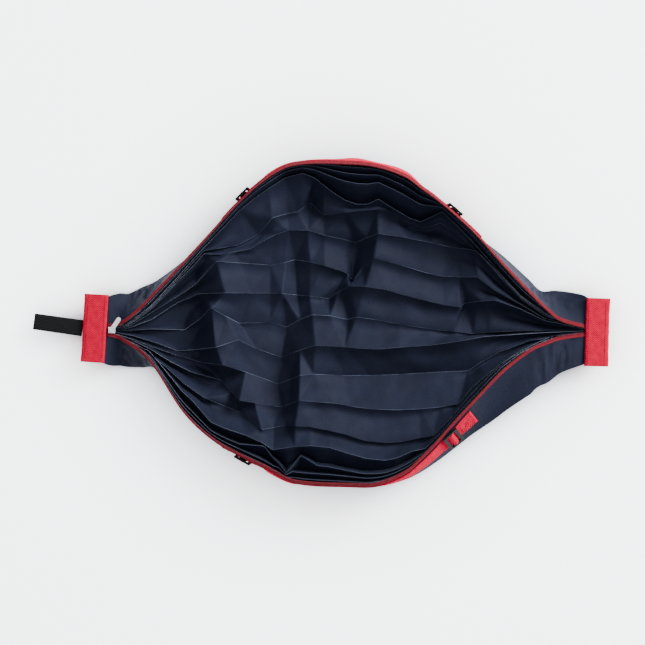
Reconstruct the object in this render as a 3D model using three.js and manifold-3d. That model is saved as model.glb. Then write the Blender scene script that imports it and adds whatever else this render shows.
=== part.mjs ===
// Foldable shopping bag of pleated cloth, lying open with its mouth up.
// Millimetres, +Z up. +X runs from the zip slider's end to the other end, +Y from the front to the back.
// The origin is on the table, under the middle of the mouth.
import * as THREE from "three";
import { mergeVertices } from "three/addons/utils/BufferGeometryUtils.js";
import Module from "manifold-3d";

const wasm = await Module();
wasm.setup();

// Driving dimensions
const MOUTH_MIDDLE = 8; // middle of the mouth across the bag, which the origin lies under
const BAND_FACE_X = 249; // inner edge of each end band, from the middle of the mouth
const BAND_WIDTH = 25; // webbing of the end bands
const BAND_LENGTH = 71;
const BAND_SHIFT = { left: 1, right: -2 }; // middle of each band across the bag
const BAND_CORNER = 1.5; // bevel of a band's folded edge
const GATHER_FROM = 215; // where the folds start to gather towards a band
const GATHER_DEPTH = 20; // how far the gathered cloth runs into a band
const WEBBING = 1.4; // thickness of all webbing
const CLOTH = 1.0; // wall of the first panels, which the rim shows
const PANEL = 36; // width of each pleat's panel
const FLOOR = 2; // least thickness of the folded cloth on the table
const SEAM_GAP = 0.3; // clearance between pieces
const STATION_STEP = 5; // spacing of the cross-sections

const ZIP_WIDTH = 4.8;
const ZIP_END_GAP = 0.8; // from a zip's end to the band
const ZIP_SEAM = 1.1; // from the cloth's rim to the tape
const ZIP_TAPE = 1.3;
const ZIP_BEAD = 2.4; // thickness over the zip's coil
const ZIP_BEAD_WIDTH = 1.7;
const ZIP_TILT = 55; // degrees that the tape leans in over the mouth
const FLAT_TILT = 88; // most that the tape or a panel leans

const HANDLE_WIDTH = 20;
const HANDLE_DROP = 14; // middle of a handle, below the cloth's rim
const SEWN_GAP = 1; // between a handle and the twisted panel under it
const BUCKLE_LENGTH = 18;
const BUCKLE_WIDTH = 26;
const BUCKLE_THICK = 2;
const BUCKLE_BAR = 3.2;
const MIDDLE_BAR = { width: 2, height: 1.2, crest: 1.4 }; // crest is where the webbing over it turns down
const BUCKLE_LIFT = 3.1; // underside of a buckle above the cloth's middle
const BUCKLE_EASE = 8; // length over which a handle turns from the cloth's way to a buckle's
const BUCKLE_PLAY = 0.7; // between a buckle's rails and the webbing

// Cross-sections along the bag. front and back are the cloth's rim and height its level, panel is the width
// of the outer panels below it, the two leans are their degrees from upright, and keel is the level of the
// underside.
const SECTIONS = [
  { x: -249, front: -5.1, back: 5.1, height: 24, panel: 30, frontLean: 88, backLean: 88, keel: 14.5 },
  { x: -238, front: -7.8, back: 7.2, height: 24.1, panel: 32.5, frontLean: 65, backLean: 72, keel: 10 },
  { x: -229, front: -12.2, back: 11.2, height: 29, panel: 34, frontLean: 51, backLean: 52, keel: 3 },
  { x: -214, front: -21.3, back: 23.4, height: 33, panel: 35, frontLean: 31, backLean: 38, keel: 0 },
  { x: -199, front: -36.7, back: 37.8, height: 36.5, panel: 35, frontLean: 8, backLean: 24, keel: 0 },
  { x: -169, front: -82.5, back: 68.5, height: 41.5, panel: 35, frontLean: 1, backLean: 9, keel: 0 },
  { x: -140, front: -110.5, back: 99.5, height: 45, panel: 35, frontLean: -1, backLean: -5, keel: 0 },
  { x: -111, front: -127.5, back: 131, height: 48.5, panel: 35, frontLean: -5, backLean: -8, keel: 0 },
  { x: -82, front: -141, back: 156.3, height: 51.5, panel: 35, frontLean: 3, backLean: -3, keel: 0 },
  { x: -54, front: -154.8, back: 170.2, height: 54, panel: 35, frontLean: 2, backLean: 0, keel: 0 },
  { x: 4, front: -158.5, back: 171.3, height: 56, panel: 35, frontLean: 3, backLean: 2, keel: 0 },
  { x: 32, front: -157.5, back: 168, height: 56, panel: 35, frontLean: 6, backLean: 1, keel: 0 },
  { x: 61, front: -145.5, back: 157.8, height: 54.5, panel: 35, frontLean: 18, backLean: 0, keel: 0 },
  { x: 76, front: -132.5, back: 146.8, height: 53.3, panel: 35, frontLean: 28, backLean: -1, keel: 0 },
  { x: 90, front: -118.5, back: 137, height: 52, panel: 35, frontLean: 36, backLean: -2, keel: 0 },
  { x: 108, front: -98.5, back: 122.5, height: 50, panel: 35.5, frontLean: 46, backLean: -4, keel: 0 },
  { x: 133, front: -72, back: 99.8, height: 46.5, panel: 36, frontLean: 57, backLean: 3, keel: 0 },
  { x: 163, front: -42, back: 67.4, height: 41, panel: 37, frontLean: 74, backLean: 20, keel: 0 },
  { x: 192, front: -20.7, back: 37.8, height: 36, panel: 39, frontLean: 86, backLean: 25.5, keel: 0 },
  { x: 207, front: -14.6, back: 23.5, height: 32.5, panel: 39, frontLean: 88, backLean: 26.5, keel: 0 },
  { x: 222, front: -9.5, back: 12.2, height: 28.5, panel: 35.5, frontLean: 88, backLean: 53, keel: 5 },
  { x: 249, front: -5.7, back: 4.5, height: 24, panel: 30, frontLean: 88, backLean: 88, keel: 14.5 },
];

// Buckles that run across the folded floor, where every fold has a kink. x is a buckle's place at the front,
// halfway and at the back, level is the valleys' height there, and folds are the folds' places across the
// bag, from the front packet's inner ridge to the back one's. Ridges and valleys take turns.
const BUCKLES = [
  { x: [-249, -249, -249], level: 17, folds: [-3, -2, -2, -1, -1, 0, 1, 1, 2, 2, 3] },
  { x: [-226, -226, -226], level: 14, folds: [-9, -8, -7, -6, -4, 0, 3, 4, 5, 6, 7] },
  { x: [-166, -166, -166], level: 5, folds: [-67, -62, -53, -33, -23, 0, 33, 43, 54, 58, 63] },
  { x: [-88, -139, -145], level: 13, folds: [-113, -98, -77, -45, -20, 22, 39, 70, 77, 85, 92] },
  { x: [-81, -105, -105], level: 7, folds: [-120, -103, -77, -49, -16, 8, 39, 71, 83, 91, 122] },
  { x: [-74, -65, -58], level: 2, folds: [-124, -103, -81, -56, -28, 1, 38, 73, 103, 114, 157] },
  { x: [-52, -31, -39], level: 13, folds: [-120, -99, -75, -46, -18, 16, 35, 67, 104, 133, 158] },
  { x: [-1, 6, 6], level: 7, folds: [-126, -111, -78, -48, -19, 15, 45, 60, 92, 121, 133] },
  { x: [34, 34, 34], level: 5, folds: [-134, -116, -83, -48, -21, 10, 43, 74, 100, 124, 136] },
  { x: [77, 77, 77], level: 4, folds: [-123, -113, -83, -47, -17, 2, 33, 63, 92, 102, 113] },
  { x: [90, 135, 104], level: 9, folds: [-113, -102, -81, -44, -12, -5, 25, 55, 85, 98, 114] },
  { x: [161, 161, 151], level: 5, folds: [-38, -33, -29, -21, -5, 8, 30, 40, 47, 52, 57] },
  { x: [208, 208, 208], level: 12, folds: [-8, -7, -6, -4, -1, 4, 10, 14, 16, 18, 19] },
  { x: [249, 249, 249], level: 17, folds: [-3, -2, -2, -1, -1, 0, 1, 1, 2, 2, 3] },
];
const LAST_FOLD = BUCKLES[0].folds.length - 1;
const RIDGE = { least: 4, most: 27, packet: 34, belowRim: 8 }; // limits of a ridge's height over its valleys

const SKEW = { left: 0.06, right: 0.03 }; // how far the ends are pulled askew, as x over y
const SKEW_FROM = 190;
const RUN_STEP = 2; // how far to each side a direction along the bag is measured

// Handles: places of the sewn ends and buckles, and the outward bulge of the free webbing between them
const HANDLES = {
  front: { patchLeft: -127, buckleLeft: -104, buckleRight: 108, patchRight: 131, bulge: 0.8 },
  back: { patchLeft: -126, buckleLeft: -103, buckleRight: 108.5, patchRight: 138, bulge: 1.2 },
};
const FREE = { from: 12, left: 110, right: 80 }; // where the bulge starts and how long it takes to rise

const COLOURS = {
  cloth: new THREE.MeshStandardMaterial({ color: 0x1b2236, roughness: 0.55, metalness: 0 }),
  webbing: new THREE.MeshStandardMaterial({ color: 0xd92b45, roughness: 0.8, metalness: 0 }),
  zip: new THREE.MeshStandardMaterial({ color: 0xb5202b, roughness: 0.6, metalness: 0 }),
  elastic: new THREE.MeshStandardMaterial({ color: 0x16171a, roughness: 0.9, metalness: 0 }),
  metal: new THREE.MeshStandardMaterial({ color: 0xb9bcc2, roughness: 0.3, metalness: 1 }),
  plastic: new THREE.MeshStandardMaterial({ color: 0x1d1e20, roughness: 0.45, metalness: 0 }),
};

const radians = THREE.MathUtils.degToRad;
const clamp = THREE.MathUtils.clamp;
const lerp = THREE.MathUtils.lerp;
const smooth = (value) => THREE.MathUtils.smoothstep(value, 0, 1);

// A column of the section table at x, eased between rows with the slopes of their neighbours.
function along(column, x) {
  const last = SECTIONS.length - 1;
  let i = SECTIONS.findIndex((row) => row.x > x) - 1;
  if (x <= SECTIONS[0].x) return SECTIONS[0][column];
  if (x >= SECTIONS[last].x) return SECTIONS[last][column];
  const slope = (k) => {
    const a = SECTIONS[Math.max(k - 1, 0)];
    const b = SECTIONS[Math.min(k + 1, last)];
    return (b[column] - a[column]) / (b.x - a.x);
  };
  const [a, b] = [SECTIONS[i], SECTIONS[i + 1]];
  const width = b.x - a.x;
  const s = (x - a.x) / width;
  const blend = s * s * (3 - 2 * s);
  const bend = s * (1 - s) * width * (slope(i) * (1 - s) - slope(i + 1) * s);
  return a[column] * (1 - blend) + b[column] * blend + bend;
}

// One side's rim at x: its point, the way down its first panel, the way from layer to layer, and the stretch
// that the rim's slant gives to lengths measured across the bag.
function rimOf(side, x) {
  const out = side === "front" ? -1 : 1;
  const lean = radians(along(side + "Lean", x));
  const down = new THREE.Vector2(out * Math.sin(lean), -Math.cos(lean));
  const inward = new THREE.Vector2(-out * Math.cos(lean), -Math.sin(lean));
  const [before, after] = [x - RUN_STEP, x + RUN_STEP];
  const run = new THREE.Vector3(
    after - before,
    along(side, after) - along(side, before),
    along("height", after) - along("height", before),
  ).normalize();
  const slant = run.y * down.x + run.z * down.y;
  const stretch = 1 / Math.sqrt(1 - slant * slant);
  const point = new THREE.Vector2(along(side, x), along("height", x));
  return { point, down, inward, run, stretch, out };
}

// A ridge's height over its valleys at a buckle, as far as the panels on its two sides let it stand.
function ridgeHeight(row, fold) {
  const sides = [row.folds[fold - 1], row.folds[fold + 1]].filter((side) => side !== undefined);
  const rises = sides.map((side) => Math.sqrt(Math.max(PANEL ** 2 - (side - row.folds[fold]) ** 2, 0)));
  const height = rises.reduce((sum, rise) => sum + rise, 0) / rises.length;
  const underRim = along("height", row.x[1]) - RIDGE.belowRim - row.level;
  const most = Math.min(sides.length > 1 ? RIDGE.most : RIDGE.packet, underRim);
  return clamp(height, Math.min(RIDGE.least, most), most);
}

// A floor fold's point at one buckle.
function foldAt(row, fold) {
  const [front, middle, back] = row.x;
  const share = (2 * fold) / LAST_FOLD;
  const x = share < 1 ? lerp(front, middle, share) : lerp(middle, back, share - 1);
  const ridge = fold % 2 === 0;
  return new THREE.Vector3(x, row.folds[fold], row.level + (ridge ? ridgeHeight(row, fold) : 0));
}

// The floor folds from front to back in the cross-section at x, straight between the buckles.
function floorFolds(x) {
  const after = Math.max(BUCKLES.findIndex((row) => row.x[1] >= x), 1);
  const [start, end] = [BUCKLES[after - 1], BUCKLES[after]];
  const share = (x - start.x[1]) / (end.x[1] - start.x[1]);
  return start.folds.map((_, fold) => foldAt(start, fold).lerp(foldAt(end, fold), share));
}

// Pulls the gathered ends askew, so that each band sits a little turned.
function skewed(x, y, z) {
  const amount = smooth((Math.abs(x) - SKEW_FROM) / (BAND_FACE_X - SKEW_FROM));
  return new THREE.Vector3(x + y * amount * (x < 0 ? SKEW.left : SKEW.right), y, z);
}

const leftNormal = (v) => new THREE.Vector2(-v.y, v.x);

const keelOf = (x) => Math.max(along("keel", x), 0);

// The fold at the foot of one side's outer panel.
function panelFoot(rim, x) {
  const foot = rim.point.clone().addScaledVector(rim.down, along("panel", x) * rim.stretch);
  foot.y = Math.max(foot.y, keelOf(x) + CLOTH);
  return foot;
}

// The body's closed outline at x: over the folds inside, from front to back, then back along the outside.
function bodyOutline(x) {
  const inBag = clamp(x, -BAND_FACE_X, BAND_FACE_X);
  const keel = keelOf(inBag);
  const gathered = smooth((Math.abs(inBag) - GATHER_FROM) / (BAND_FACE_X - GATHER_FROM));
  const folds = floorFolds(inBag);
  const inside = folds.map((fold) => skewed(fold.x + x - inBag, fold.y, Math.max(fold.z, keel + FLOOR)));
  const outside = ["front", "back"].map((side) => {
    const rim = rimOf(side, inBag);
    const foot = panelFoot(rim, inBag);
    const last = side === "front" ? folds[0] : folds.at(-1);
    const underRidge = rim.out * Math.min(rim.out * last.y, rim.out * foot.x);
    const keelAt = new THREE.Vector2(lerp(underRidge, foot.x, gathered), keel);
    const rimInside = rim.point.clone().addScaledVector(rim.inward, CLOTH / 2);
    const panel = [rim.point, foot].map((p) => p.clone().addScaledVector(rim.inward, -CLOTH / 2));
    return [rimInside, ...panel, keelAt].map((p) => skewed(x, p.x, Math.max(p.y, keel)));
  });
  const [front, back] = outside;
  return [front[0], ...inside, ...back, ...front.slice(1).reverse()];
}

// A closed surface through outlines that all have the same number of points, in order along x.
function loft(sections) {
  const flat = (outline) => outline.map((p) => new THREE.Vector2(p.y, p.z));
  const turned = THREE.ShapeUtils.isClockWise(flat(sections[0]));
  const outlines = turned ? sections.map((outline) => [...outline].reverse()) : sections;
  const count = outlines[0].length;
  const index = [];
  for (let i = 0; i + 1 < outlines.length; i++)
    for (let k = 0; k < count; k++) {
      const next = (k + 1) % count;
      const [a, b, c, d] = [i * count + k, i * count + next, (i + 1) * count + next, (i + 1) * count + k];
      index.push(a, b, c, a, c, d);
    }
  const end = (outlines.length - 1) * count;
  const cap = (outline) => THREE.ShapeUtils.triangulateShape(flat(outline), []);
  cap(outlines[0]).forEach(([a, b, c]) => index.push(a, c, b));
  cap(outlines.at(-1)).forEach(([a, b, c]) => index.push(end + a, end + b, end + c));
  const geometry = new THREE.BufferGeometry();
  geometry.setFromPoints(outlines.flat());
  geometry.setIndex(index);
  return geometry;
}

function solid(geometry) {
  const bare = geometry.clone();
  bare.deleteAttribute("normal");
  bare.deleteAttribute("uv");
  const merged = mergeVertices(bare, 1e-4);
  return new wasm.Manifold(
    new wasm.Mesh({
      numProp: 3,
      vertProperties: new Float32Array(merged.attributes.position.array),
      triVerts: new Uint32Array(merged.index.array),
    }),
  );
}

function joined(geometries) {
  const mesh = geometries.map(solid).reduce((all, next) => all.add(next)).getMesh();
  const geometry = new THREE.BufferGeometry();
  geometry.setAttribute("position", new THREE.BufferAttribute(mesh.vertProperties, 3));
  geometry.setIndex(new THREE.BufferAttribute(mesh.triVerts, 1));
  return geometry;
}

const bag = new THREE.Group();

function piece(name, geometry, material, parent = bag) {
  const mesh = new THREE.Mesh(geometry, material);
  mesh.name = name;
  parent.add(mesh);
  return mesh;
}

function stations(from, to, step) {
  const count = Math.ceil((to - from) / step);
  return Array.from({ length: count + 1 }, (_, i) => from + ((to - from) * i) / count);
}

const BODY_STATIONS = stations(-BAND_FACE_X, BAND_FACE_X, STATION_STEP);

function makeBody() {
  const end = BAND_FACE_X + GATHER_DEPTH;
  const outlines = [-end, ...BODY_STATIONS, end].map(bodyOutline);
  piece("bag_body", loft(outlines), COLOURS.cloth);
}

// The zip half's outline at x: a flat tape that leans in from the rim, with the coil's bead on its edge.
function zipOutline(side, x) {
  const rim = rimOf(side, x);
  const tilt = Math.min(along(side + "Lean", x) + ZIP_TILT, FLAT_TILT);
  const inwards = new THREE.Vector2(-rim.out * Math.sin(radians(tilt)), Math.cos(radians(tilt)));
  const across = leftNormal(inwards);
  const bead = ZIP_WIDTH - ZIP_BEAD_WIDTH;
  const bevel = (ZIP_BEAD - ZIP_TAPE) / 2;
  const profile = [
    [ZIP_SEAM, -ZIP_TAPE / 2],
    [bead - bevel, -ZIP_TAPE / 2],
    [bead, -ZIP_BEAD / 2],
    [ZIP_WIDTH, -ZIP_BEAD / 2],
    [ZIP_WIDTH, ZIP_BEAD / 2],
    [bead, ZIP_BEAD / 2],
    [bead - bevel, ZIP_TAPE / 2],
    [ZIP_SEAM, ZIP_TAPE / 2],
  ];
  return profile.map(([run, rise]) => {
    const p = rim.point.clone().addScaledVector(inwards, run).addScaledVector(across, rise);
    return skewed(x, p.x, p.y);
  });
}

function makeZip(side) {
  const end = BAND_FACE_X - ZIP_END_GAP;
  const places = [-end, ...BODY_STATIONS.slice(1, -1), end];
  const outlines = places.map((x) => zipOutline(side, x));
  piece("zip_tape_" + side, loft(outlines), COLOURS.zip);
}

// Webbing folded over the gathered end, as a channel that opens towards the bag.
function makeBand(name, sign) {
  const levels = bodyOutline(sign * BAND_FACE_X).map((p) => p.z);
  const top = Math.max(...levels) + SEAM_GAP;
  const bottom = Math.min(...levels) - SEAM_GAP;
  const depth = GATHER_DEPTH + 2 * SEAM_GAP;
  const profile = new THREE.Shape([
    new THREE.Vector2(0, top),
    new THREE.Vector2(depth, top),
    new THREE.Vector2(depth, bottom),
    new THREE.Vector2(0, bottom),
    new THREE.Vector2(0, bottom - WEBBING),
    new THREE.Vector2(BAND_WIDTH - BAND_CORNER, bottom - WEBBING),
    new THREE.Vector2(BAND_WIDTH, bottom + BAND_CORNER - WEBBING),
    new THREE.Vector2(BAND_WIDTH, top - BAND_CORNER + WEBBING),
    new THREE.Vector2(BAND_WIDTH - BAND_CORNER, top + WEBBING),
    new THREE.Vector2(0, top + WEBBING),
  ]);
  const geometry = new THREE.ExtrudeGeometry(profile, { depth: BAND_LENGTH, bevelEnabled: false });
  geometry.translate(0, 0, -BAND_LENGTH / 2);
  geometry.rotateX(Math.PI / 2);
  const group = new THREE.Group();
  group.position.set(sign * BAND_FACE_X, sign < 0 ? BAND_SHIFT.left : BAND_SHIFT.right, 0);
  group.rotation.z = (sign < 0 ? Math.PI : 0) - Math.atan(sign < 0 ? SKEW.left : SKEW.right);
  piece(name, geometry, COLOURS.webbing, group);
  bag.add(group);
  return { group, level: (top + bottom) / 2 };
}

const LOOP = { length: 52, width: 17, thick: 1.3, gap: 0.8, across: 0.7, droop: 4, turn: -4.5 };

// Elastic doubled back on itself, as a flat loop that leaves the left band.
function makeClosingLoop(band) {
  const { length, width, thick, gap } = LOOP;
  const half = gap / 2 + thick;
  const profile = new THREE.Shape();
  profile.moveTo(0, half);
  profile.lineTo(0, gap / 2);
  profile.lineTo(length - half, gap / 2);
  profile.absarc(length - half, 0, gap / 2, Math.PI / 2, -Math.PI / 2, true);
  profile.lineTo(0, -gap / 2);
  profile.lineTo(0, -half);
  profile.lineTo(length - half, -half);
  profile.absarc(length - half, 0, half, -Math.PI / 2, Math.PI / 2, false);
  profile.lineTo(0, half);
  const options = { depth: width, bevelEnabled: false, curveSegments: 6 };
  const geometry = new THREE.ExtrudeGeometry(profile, options);
  geometry.translate(0, 0, -width / 2);
  geometry.rotateX(Math.PI / 2);
  const loop = piece("closing_loop", geometry, COLOURS.elastic, band.group);
  const corner = (LOOP.width / 2) * Math.abs(Math.sin(radians(LOOP.turn)));
  loop.position.set(BAND_WIDTH + SEAM_GAP + corner, LOOP.across, band.level);
  loop.rotation.set(0, radians(LOOP.droop), radians(LOOP.turn), "ZYX");
}

// The line along the first panel that the handle follows, at x.
function panelMiddle(side, x) {
  const rim = rimOf(side, x);
  const across = panelFoot(rim, x).sub(rim.point).normalize();
  const middle = rim.point.clone().addScaledVector(across, HANDLE_DROP * rim.stretch);
  return { across, place: skewed(x, middle.x, middle.y) };
}

// The outside of the first panel at x, as a frame for what is sewn on it.
function panelFrame(side, x) {
  const { across, place } = panelMiddle(side, x);
  const [before, after] = [x - RUN_STEP, x + RUN_STEP].map((at) => panelMiddle(side, at).place);
  const run = after.sub(before).normalize();
  const normal = new THREE.Vector3(0, across.x, across.y).cross(run).normalize();
  if (side === "front" ? normal.y > 0 : normal.y < 0) normal.negate();
  return { place, run, normal };
}

// Distance of a handle's middle from the cloth's middle: on the patches, woven through the buckles, and free.
function handleFrame(side, handle, x) {
  const flat = CLOTH / 2 + SEWN_GAP + WEBBING / 2;
  const over = BUCKLE_LIFT + MIDDLE_BAR.height + SEAM_GAP + WEBBING / 2;
  const slot = BUCKLE_LENGTH / 2 - BUCKLE_BAR - 2 * SEAM_GAP;
  const rise = smooth((x - handle.buckleLeft - FREE.from) / FREE.left);
  const free = rise * smooth((handle.buckleRight - FREE.from - x) / FREE.right);
  const frame = panelFrame(side, x);
  let offset = flat + handle.bulge * free;
  for (const centre of [handle.buckleLeft, handle.buckleRight]) {
    const buckle = panelFrame(side, centre);
    const way = (x - centre) / buckle.run.x;
    const straight = smooth((BUCKLE_LENGTH - Math.abs(way)) / BUCKLE_EASE);
    frame.place.lerp(buckle.place.clone().addScaledVector(buckle.run, way), straight);
    frame.run.lerp(buckle.run, straight).normalize();
    frame.normal.lerp(buckle.normal, straight).normalize();
    offset += (over - flat) * smooth((slot - Math.abs(way)) / (slot - MIDDLE_BAR.crest));
  }
  frame.place.addScaledVector(frame.normal, offset);
  return frame;
}

function handleOutline(side, handle, x) {
  const { place, run, normal } = handleFrame(side, handle, x);
  const sideways = normal.clone().cross(run);
  return [
    [-1, -1],
    [1, -1],
    [1, 1],
    [-1, 1],
  ].map(([across, out]) =>
    place
      .clone()
      .addScaledVector(sideways, (across * HANDLE_WIDTH) / 2)
      .addScaledVector(normal, (out * WEBBING) / 2),
  );
}

const HANDLE_STEPS = { near: 7, fine: 0.7, coarse: 6, sewn: 4 }; // spacing of a handle's sections

function makeHandle(side) {
  const handle = HANDLES[side];
  const { near, fine, coarse, sewn } = HANDLE_STEPS;
  const places = [
    ...stations(handle.patchLeft, handle.buckleLeft - near, sewn),
    ...stations(handle.buckleLeft - near, handle.buckleLeft + near, fine).slice(1),
    ...stations(handle.buckleLeft + near, handle.buckleRight - near, coarse).slice(1),
    ...stations(handle.buckleRight - near, handle.buckleRight + near, fine).slice(1),
    ...stations(handle.buckleRight + near, handle.patchRight, sewn).slice(1),
  ];
  const outlines = places.map((x) => handleOutline(side, handle, x));
  piece("handle_" + side, loft(outlines), COLOURS.webbing);
  makeBuckle("buckle_" + side + "_left", side, handle.buckleLeft);
  makeBuckle("buckle_" + side + "_right", side, handle.buckleRight);
}

function block(length, width, height, x, y, z) {
  const geometry = new THREE.BoxGeometry(length, width, height);
  geometry.translate(x, y, z);
  return geometry;
}

// Three-bar adjuster: two rails, two end bars above the webbing and a low middle bar under it.
function makeBuckle(name, side, x) {
  const { run, normal, place } = panelFrame(side, x);
  const rail = (BUCKLE_WIDTH - HANDLE_WIDTH) / 2 - BUCKLE_PLAY;
  const railAt = (BUCKLE_WIDTH - rail) / 2;
  const level = BUCKLE_LIFT + BUCKLE_THICK / 2;
  const barAt = (BUCKLE_LENGTH - BUCKLE_BAR) / 2;
  const geometry = joined([
    block(BUCKLE_LENGTH, rail, BUCKLE_THICK, 0, railAt, level),
    block(BUCKLE_LENGTH, rail, BUCKLE_THICK, 0, -railAt, level),
    block(BUCKLE_BAR, BUCKLE_WIDTH, BUCKLE_THICK, barAt, 0, level),
    block(BUCKLE_BAR, BUCKLE_WIDTH, BUCKLE_THICK, -barAt, 0, level),
    block(MIDDLE_BAR.width, BUCKLE_WIDTH, MIDDLE_BAR.height, 0, 0, BUCKLE_LIFT + MIDDLE_BAR.height / 2),
  ]);
  const mesh = piece(name, geometry, COLOURS.plastic);
  mesh.matrixAutoUpdate = false;
  mesh.matrix.makeBasis(run, normal.clone().cross(run), normal).setPosition(place);
}

// Slider on the zip's closed end, with its pull hinged on a bridge.
const SLIDER = {
  x: -243.5,
  length: 7,
  width: 6.4,
  plate: 1.1,
  lowPlate: 1,
  lowWidth: 5,
  play: 0.5, // between its plates and the coil
  post: 1.6,
};
const BRIDGE = { span: 3, leg: 1.2, width: 1.4, sunk: 0.5, roof: 1.1, corner: 0.7 };
const PULL = {
  length: 15.5,
  width: 4.4,
  thick: 1,
  bar: 0.5, // half of the bar that the bridge holds
  play: 0.4,
  heading: 56, // degrees from +X
  holeEnd: 3.9,
  holeWidth: 2.4,
};

function sliderLevels() {
  const tape = along("height", SLIDER.x);
  const plateTop = tape + ZIP_BEAD / 2 + SLIDER.play + SLIDER.plate;
  return { tape, plateTop, hinge: plateTop + PULL.bar + PULL.play };
}

function makeSlider() {
  const { tape, plateTop, hinge } = sliderLevels();
  const low = tape - ZIP_BEAD / 2 - SLIDER.play;
  const inner = BRIDGE.span / 2;
  const reach = inner + BRIDGE.leg;
  const under = hinge + PULL.bar + PULL.play;
  const top = under + BRIDGE.roof;
  const foot = plateTop - BRIDGE.sunk;
  const bridge = new THREE.Shape([
    new THREE.Vector2(-reach, foot),
    new THREE.Vector2(-inner, foot),
    new THREE.Vector2(-inner, under),
    new THREE.Vector2(inner, under),
    new THREE.Vector2(inner, foot),
    new THREE.Vector2(reach, foot),
    new THREE.Vector2(reach, top - BRIDGE.corner),
    new THREE.Vector2(reach - BRIDGE.corner, top),
    new THREE.Vector2(BRIDGE.corner - reach, top),
    new THREE.Vector2(-reach, top - BRIDGE.corner),
  ]);
  const arch = new THREE.ExtrudeGeometry(bridge, { depth: BRIDGE.width, bevelEnabled: false });
  arch.translate(0, 0, -BRIDGE.width / 2);
  arch.rotateX(Math.PI / 2);
  arch.rotateZ(radians(PULL.heading));
  const bottom = low - SLIDER.lowPlate;
  const postX = (SLIDER.length - SLIDER.post) / 2;
  const geometry = joined([
    block(SLIDER.length, SLIDER.width, SLIDER.plate, 0, 0, plateTop - SLIDER.plate / 2),
    block(SLIDER.post, SLIDER.post, plateTop - bottom, postX, 0, (plateTop + bottom) / 2),
    block(SLIDER.length, SLIDER.lowWidth, SLIDER.lowPlate, 0, 0, low - SLIDER.lowPlate / 2),
    arch,
  ]);
  piece("zip_slider", geometry, COLOURS.metal).position.x = SLIDER.x;
}

function makePull() {
  const half = PULL.width / 2;
  const plate = new THREE.Shape();
  plate.moveTo(-PULL.bar, -half);
  plate.lineTo(PULL.length - half, -half);
  plate.absarc(PULL.length - half, 0, half, -Math.PI / 2, Math.PI / 2, false);
  plate.lineTo(-PULL.bar, half);
  plate.closePath();
  const hole = new THREE.Path();
  hole.moveTo(PULL.bar, -PULL.holeWidth / 2);
  hole.lineTo(PULL.bar, PULL.holeWidth / 2);
  hole.lineTo(PULL.holeEnd, PULL.holeWidth / 2);
  hole.lineTo(PULL.holeEnd, -PULL.holeWidth / 2);
  hole.closePath();
  plate.holes.push(hole);
  const options = { depth: PULL.thick, bevelEnabled: false, curveSegments: 8 };
  const geometry = new THREE.ExtrudeGeometry(plate, options);
  geometry.translate(0, 0, -PULL.thick / 2);
  const pull = piece("zip_pull", geometry, COLOURS.metal);
  pull.position.set(SLIDER.x, 0, sliderLevels().hinge);
  pull.rotation.z = radians(PULL.heading);
}

makeBody();
makeZip("front");
makeZip("back");
makeSlider();
makePull();
makeClosingLoop(makeBand("end_band_left", -1));
makeBand("end_band_right", 1);
makeHandle("front");
makeHandle("back");
bag.position.y = -MOUTH_MIDDLE;

export default bag;
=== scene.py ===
"""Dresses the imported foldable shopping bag: pleated cloth, zip, webbing, elastic, fittings and the stage."""

import math
from collections import namedtuple

import bpy
from bpy.props import FloatProperty, PointerProperty, StringProperty
from mathutils import Matrix, Vector, noise


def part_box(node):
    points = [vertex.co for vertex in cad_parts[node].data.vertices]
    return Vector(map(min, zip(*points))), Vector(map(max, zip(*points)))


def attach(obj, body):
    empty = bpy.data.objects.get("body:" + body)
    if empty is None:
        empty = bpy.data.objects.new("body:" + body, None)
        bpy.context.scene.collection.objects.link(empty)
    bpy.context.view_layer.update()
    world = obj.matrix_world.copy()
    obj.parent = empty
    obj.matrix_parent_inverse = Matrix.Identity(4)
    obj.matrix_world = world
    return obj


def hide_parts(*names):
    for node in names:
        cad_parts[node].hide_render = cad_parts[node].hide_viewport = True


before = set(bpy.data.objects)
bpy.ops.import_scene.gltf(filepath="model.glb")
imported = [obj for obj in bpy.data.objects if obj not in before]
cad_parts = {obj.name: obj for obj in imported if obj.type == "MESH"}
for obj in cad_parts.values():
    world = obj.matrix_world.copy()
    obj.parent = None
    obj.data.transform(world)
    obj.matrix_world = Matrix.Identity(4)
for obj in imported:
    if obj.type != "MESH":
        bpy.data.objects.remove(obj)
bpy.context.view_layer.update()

bl_info = {
    "name": "Foldable Shopping Bag",
    "version": (1, 0, 0),
    "blender": (4, 5, 0),
    "location": "View3D > Sidebar > Bag",
    "description": "Builds the cloth, zip, webbing and fittings of a pleated bag on its packed frame",
    "category": "Object",
}

# The tables below are in millimetres, as the bag's own drawing is, and MM turns them to metres.
MM = 0.001

BAND_FACE = 249  # inner edge of each end band, from the middle of the mouth
GATHER_ROWS = (8, 22)  # how far in a band the rows of the gathered cloth lie
BAND_SQUEEZE = 0.96  # the cloth's width there as a share of that at the band's edge
BAND_WIDTH = 25
BAND_LENGTH = 71
BAND_FOLD = 3.2  # radius of the webbing's turn over the cloth
BAND_PRESS = 0.62  # how far a band's lower layer is pressed up at its ends, as a share of the way
BAND_PRESS_FROM = 0.55  # where that starts, and over what, as shares of the band's half length
BAND_PRESS_RUN = 0.4
BAND_DROOP = 0.35  # how far the cut ends are rounded off
BAND_RIPPLE = 0.28  # height and length of the webbing's ripples
BAND_RIPPLE_LENGTH = 7
BAND_RIPPLE_TURNS = 6  # along half a band
BAND_RIPPLE_OUT = 0.8  # share of a ripple that moves the webbing outwards too
RIPPLE_BANDS_APART = 3  # keep the two bands, and each band's layers, apart in the noise
RIPPLE_LAYERS_APART = 300
BAND_SEAMS = {"inner": 3, "outer": 20.5}  # rows of stitches, from the inner edge
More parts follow.
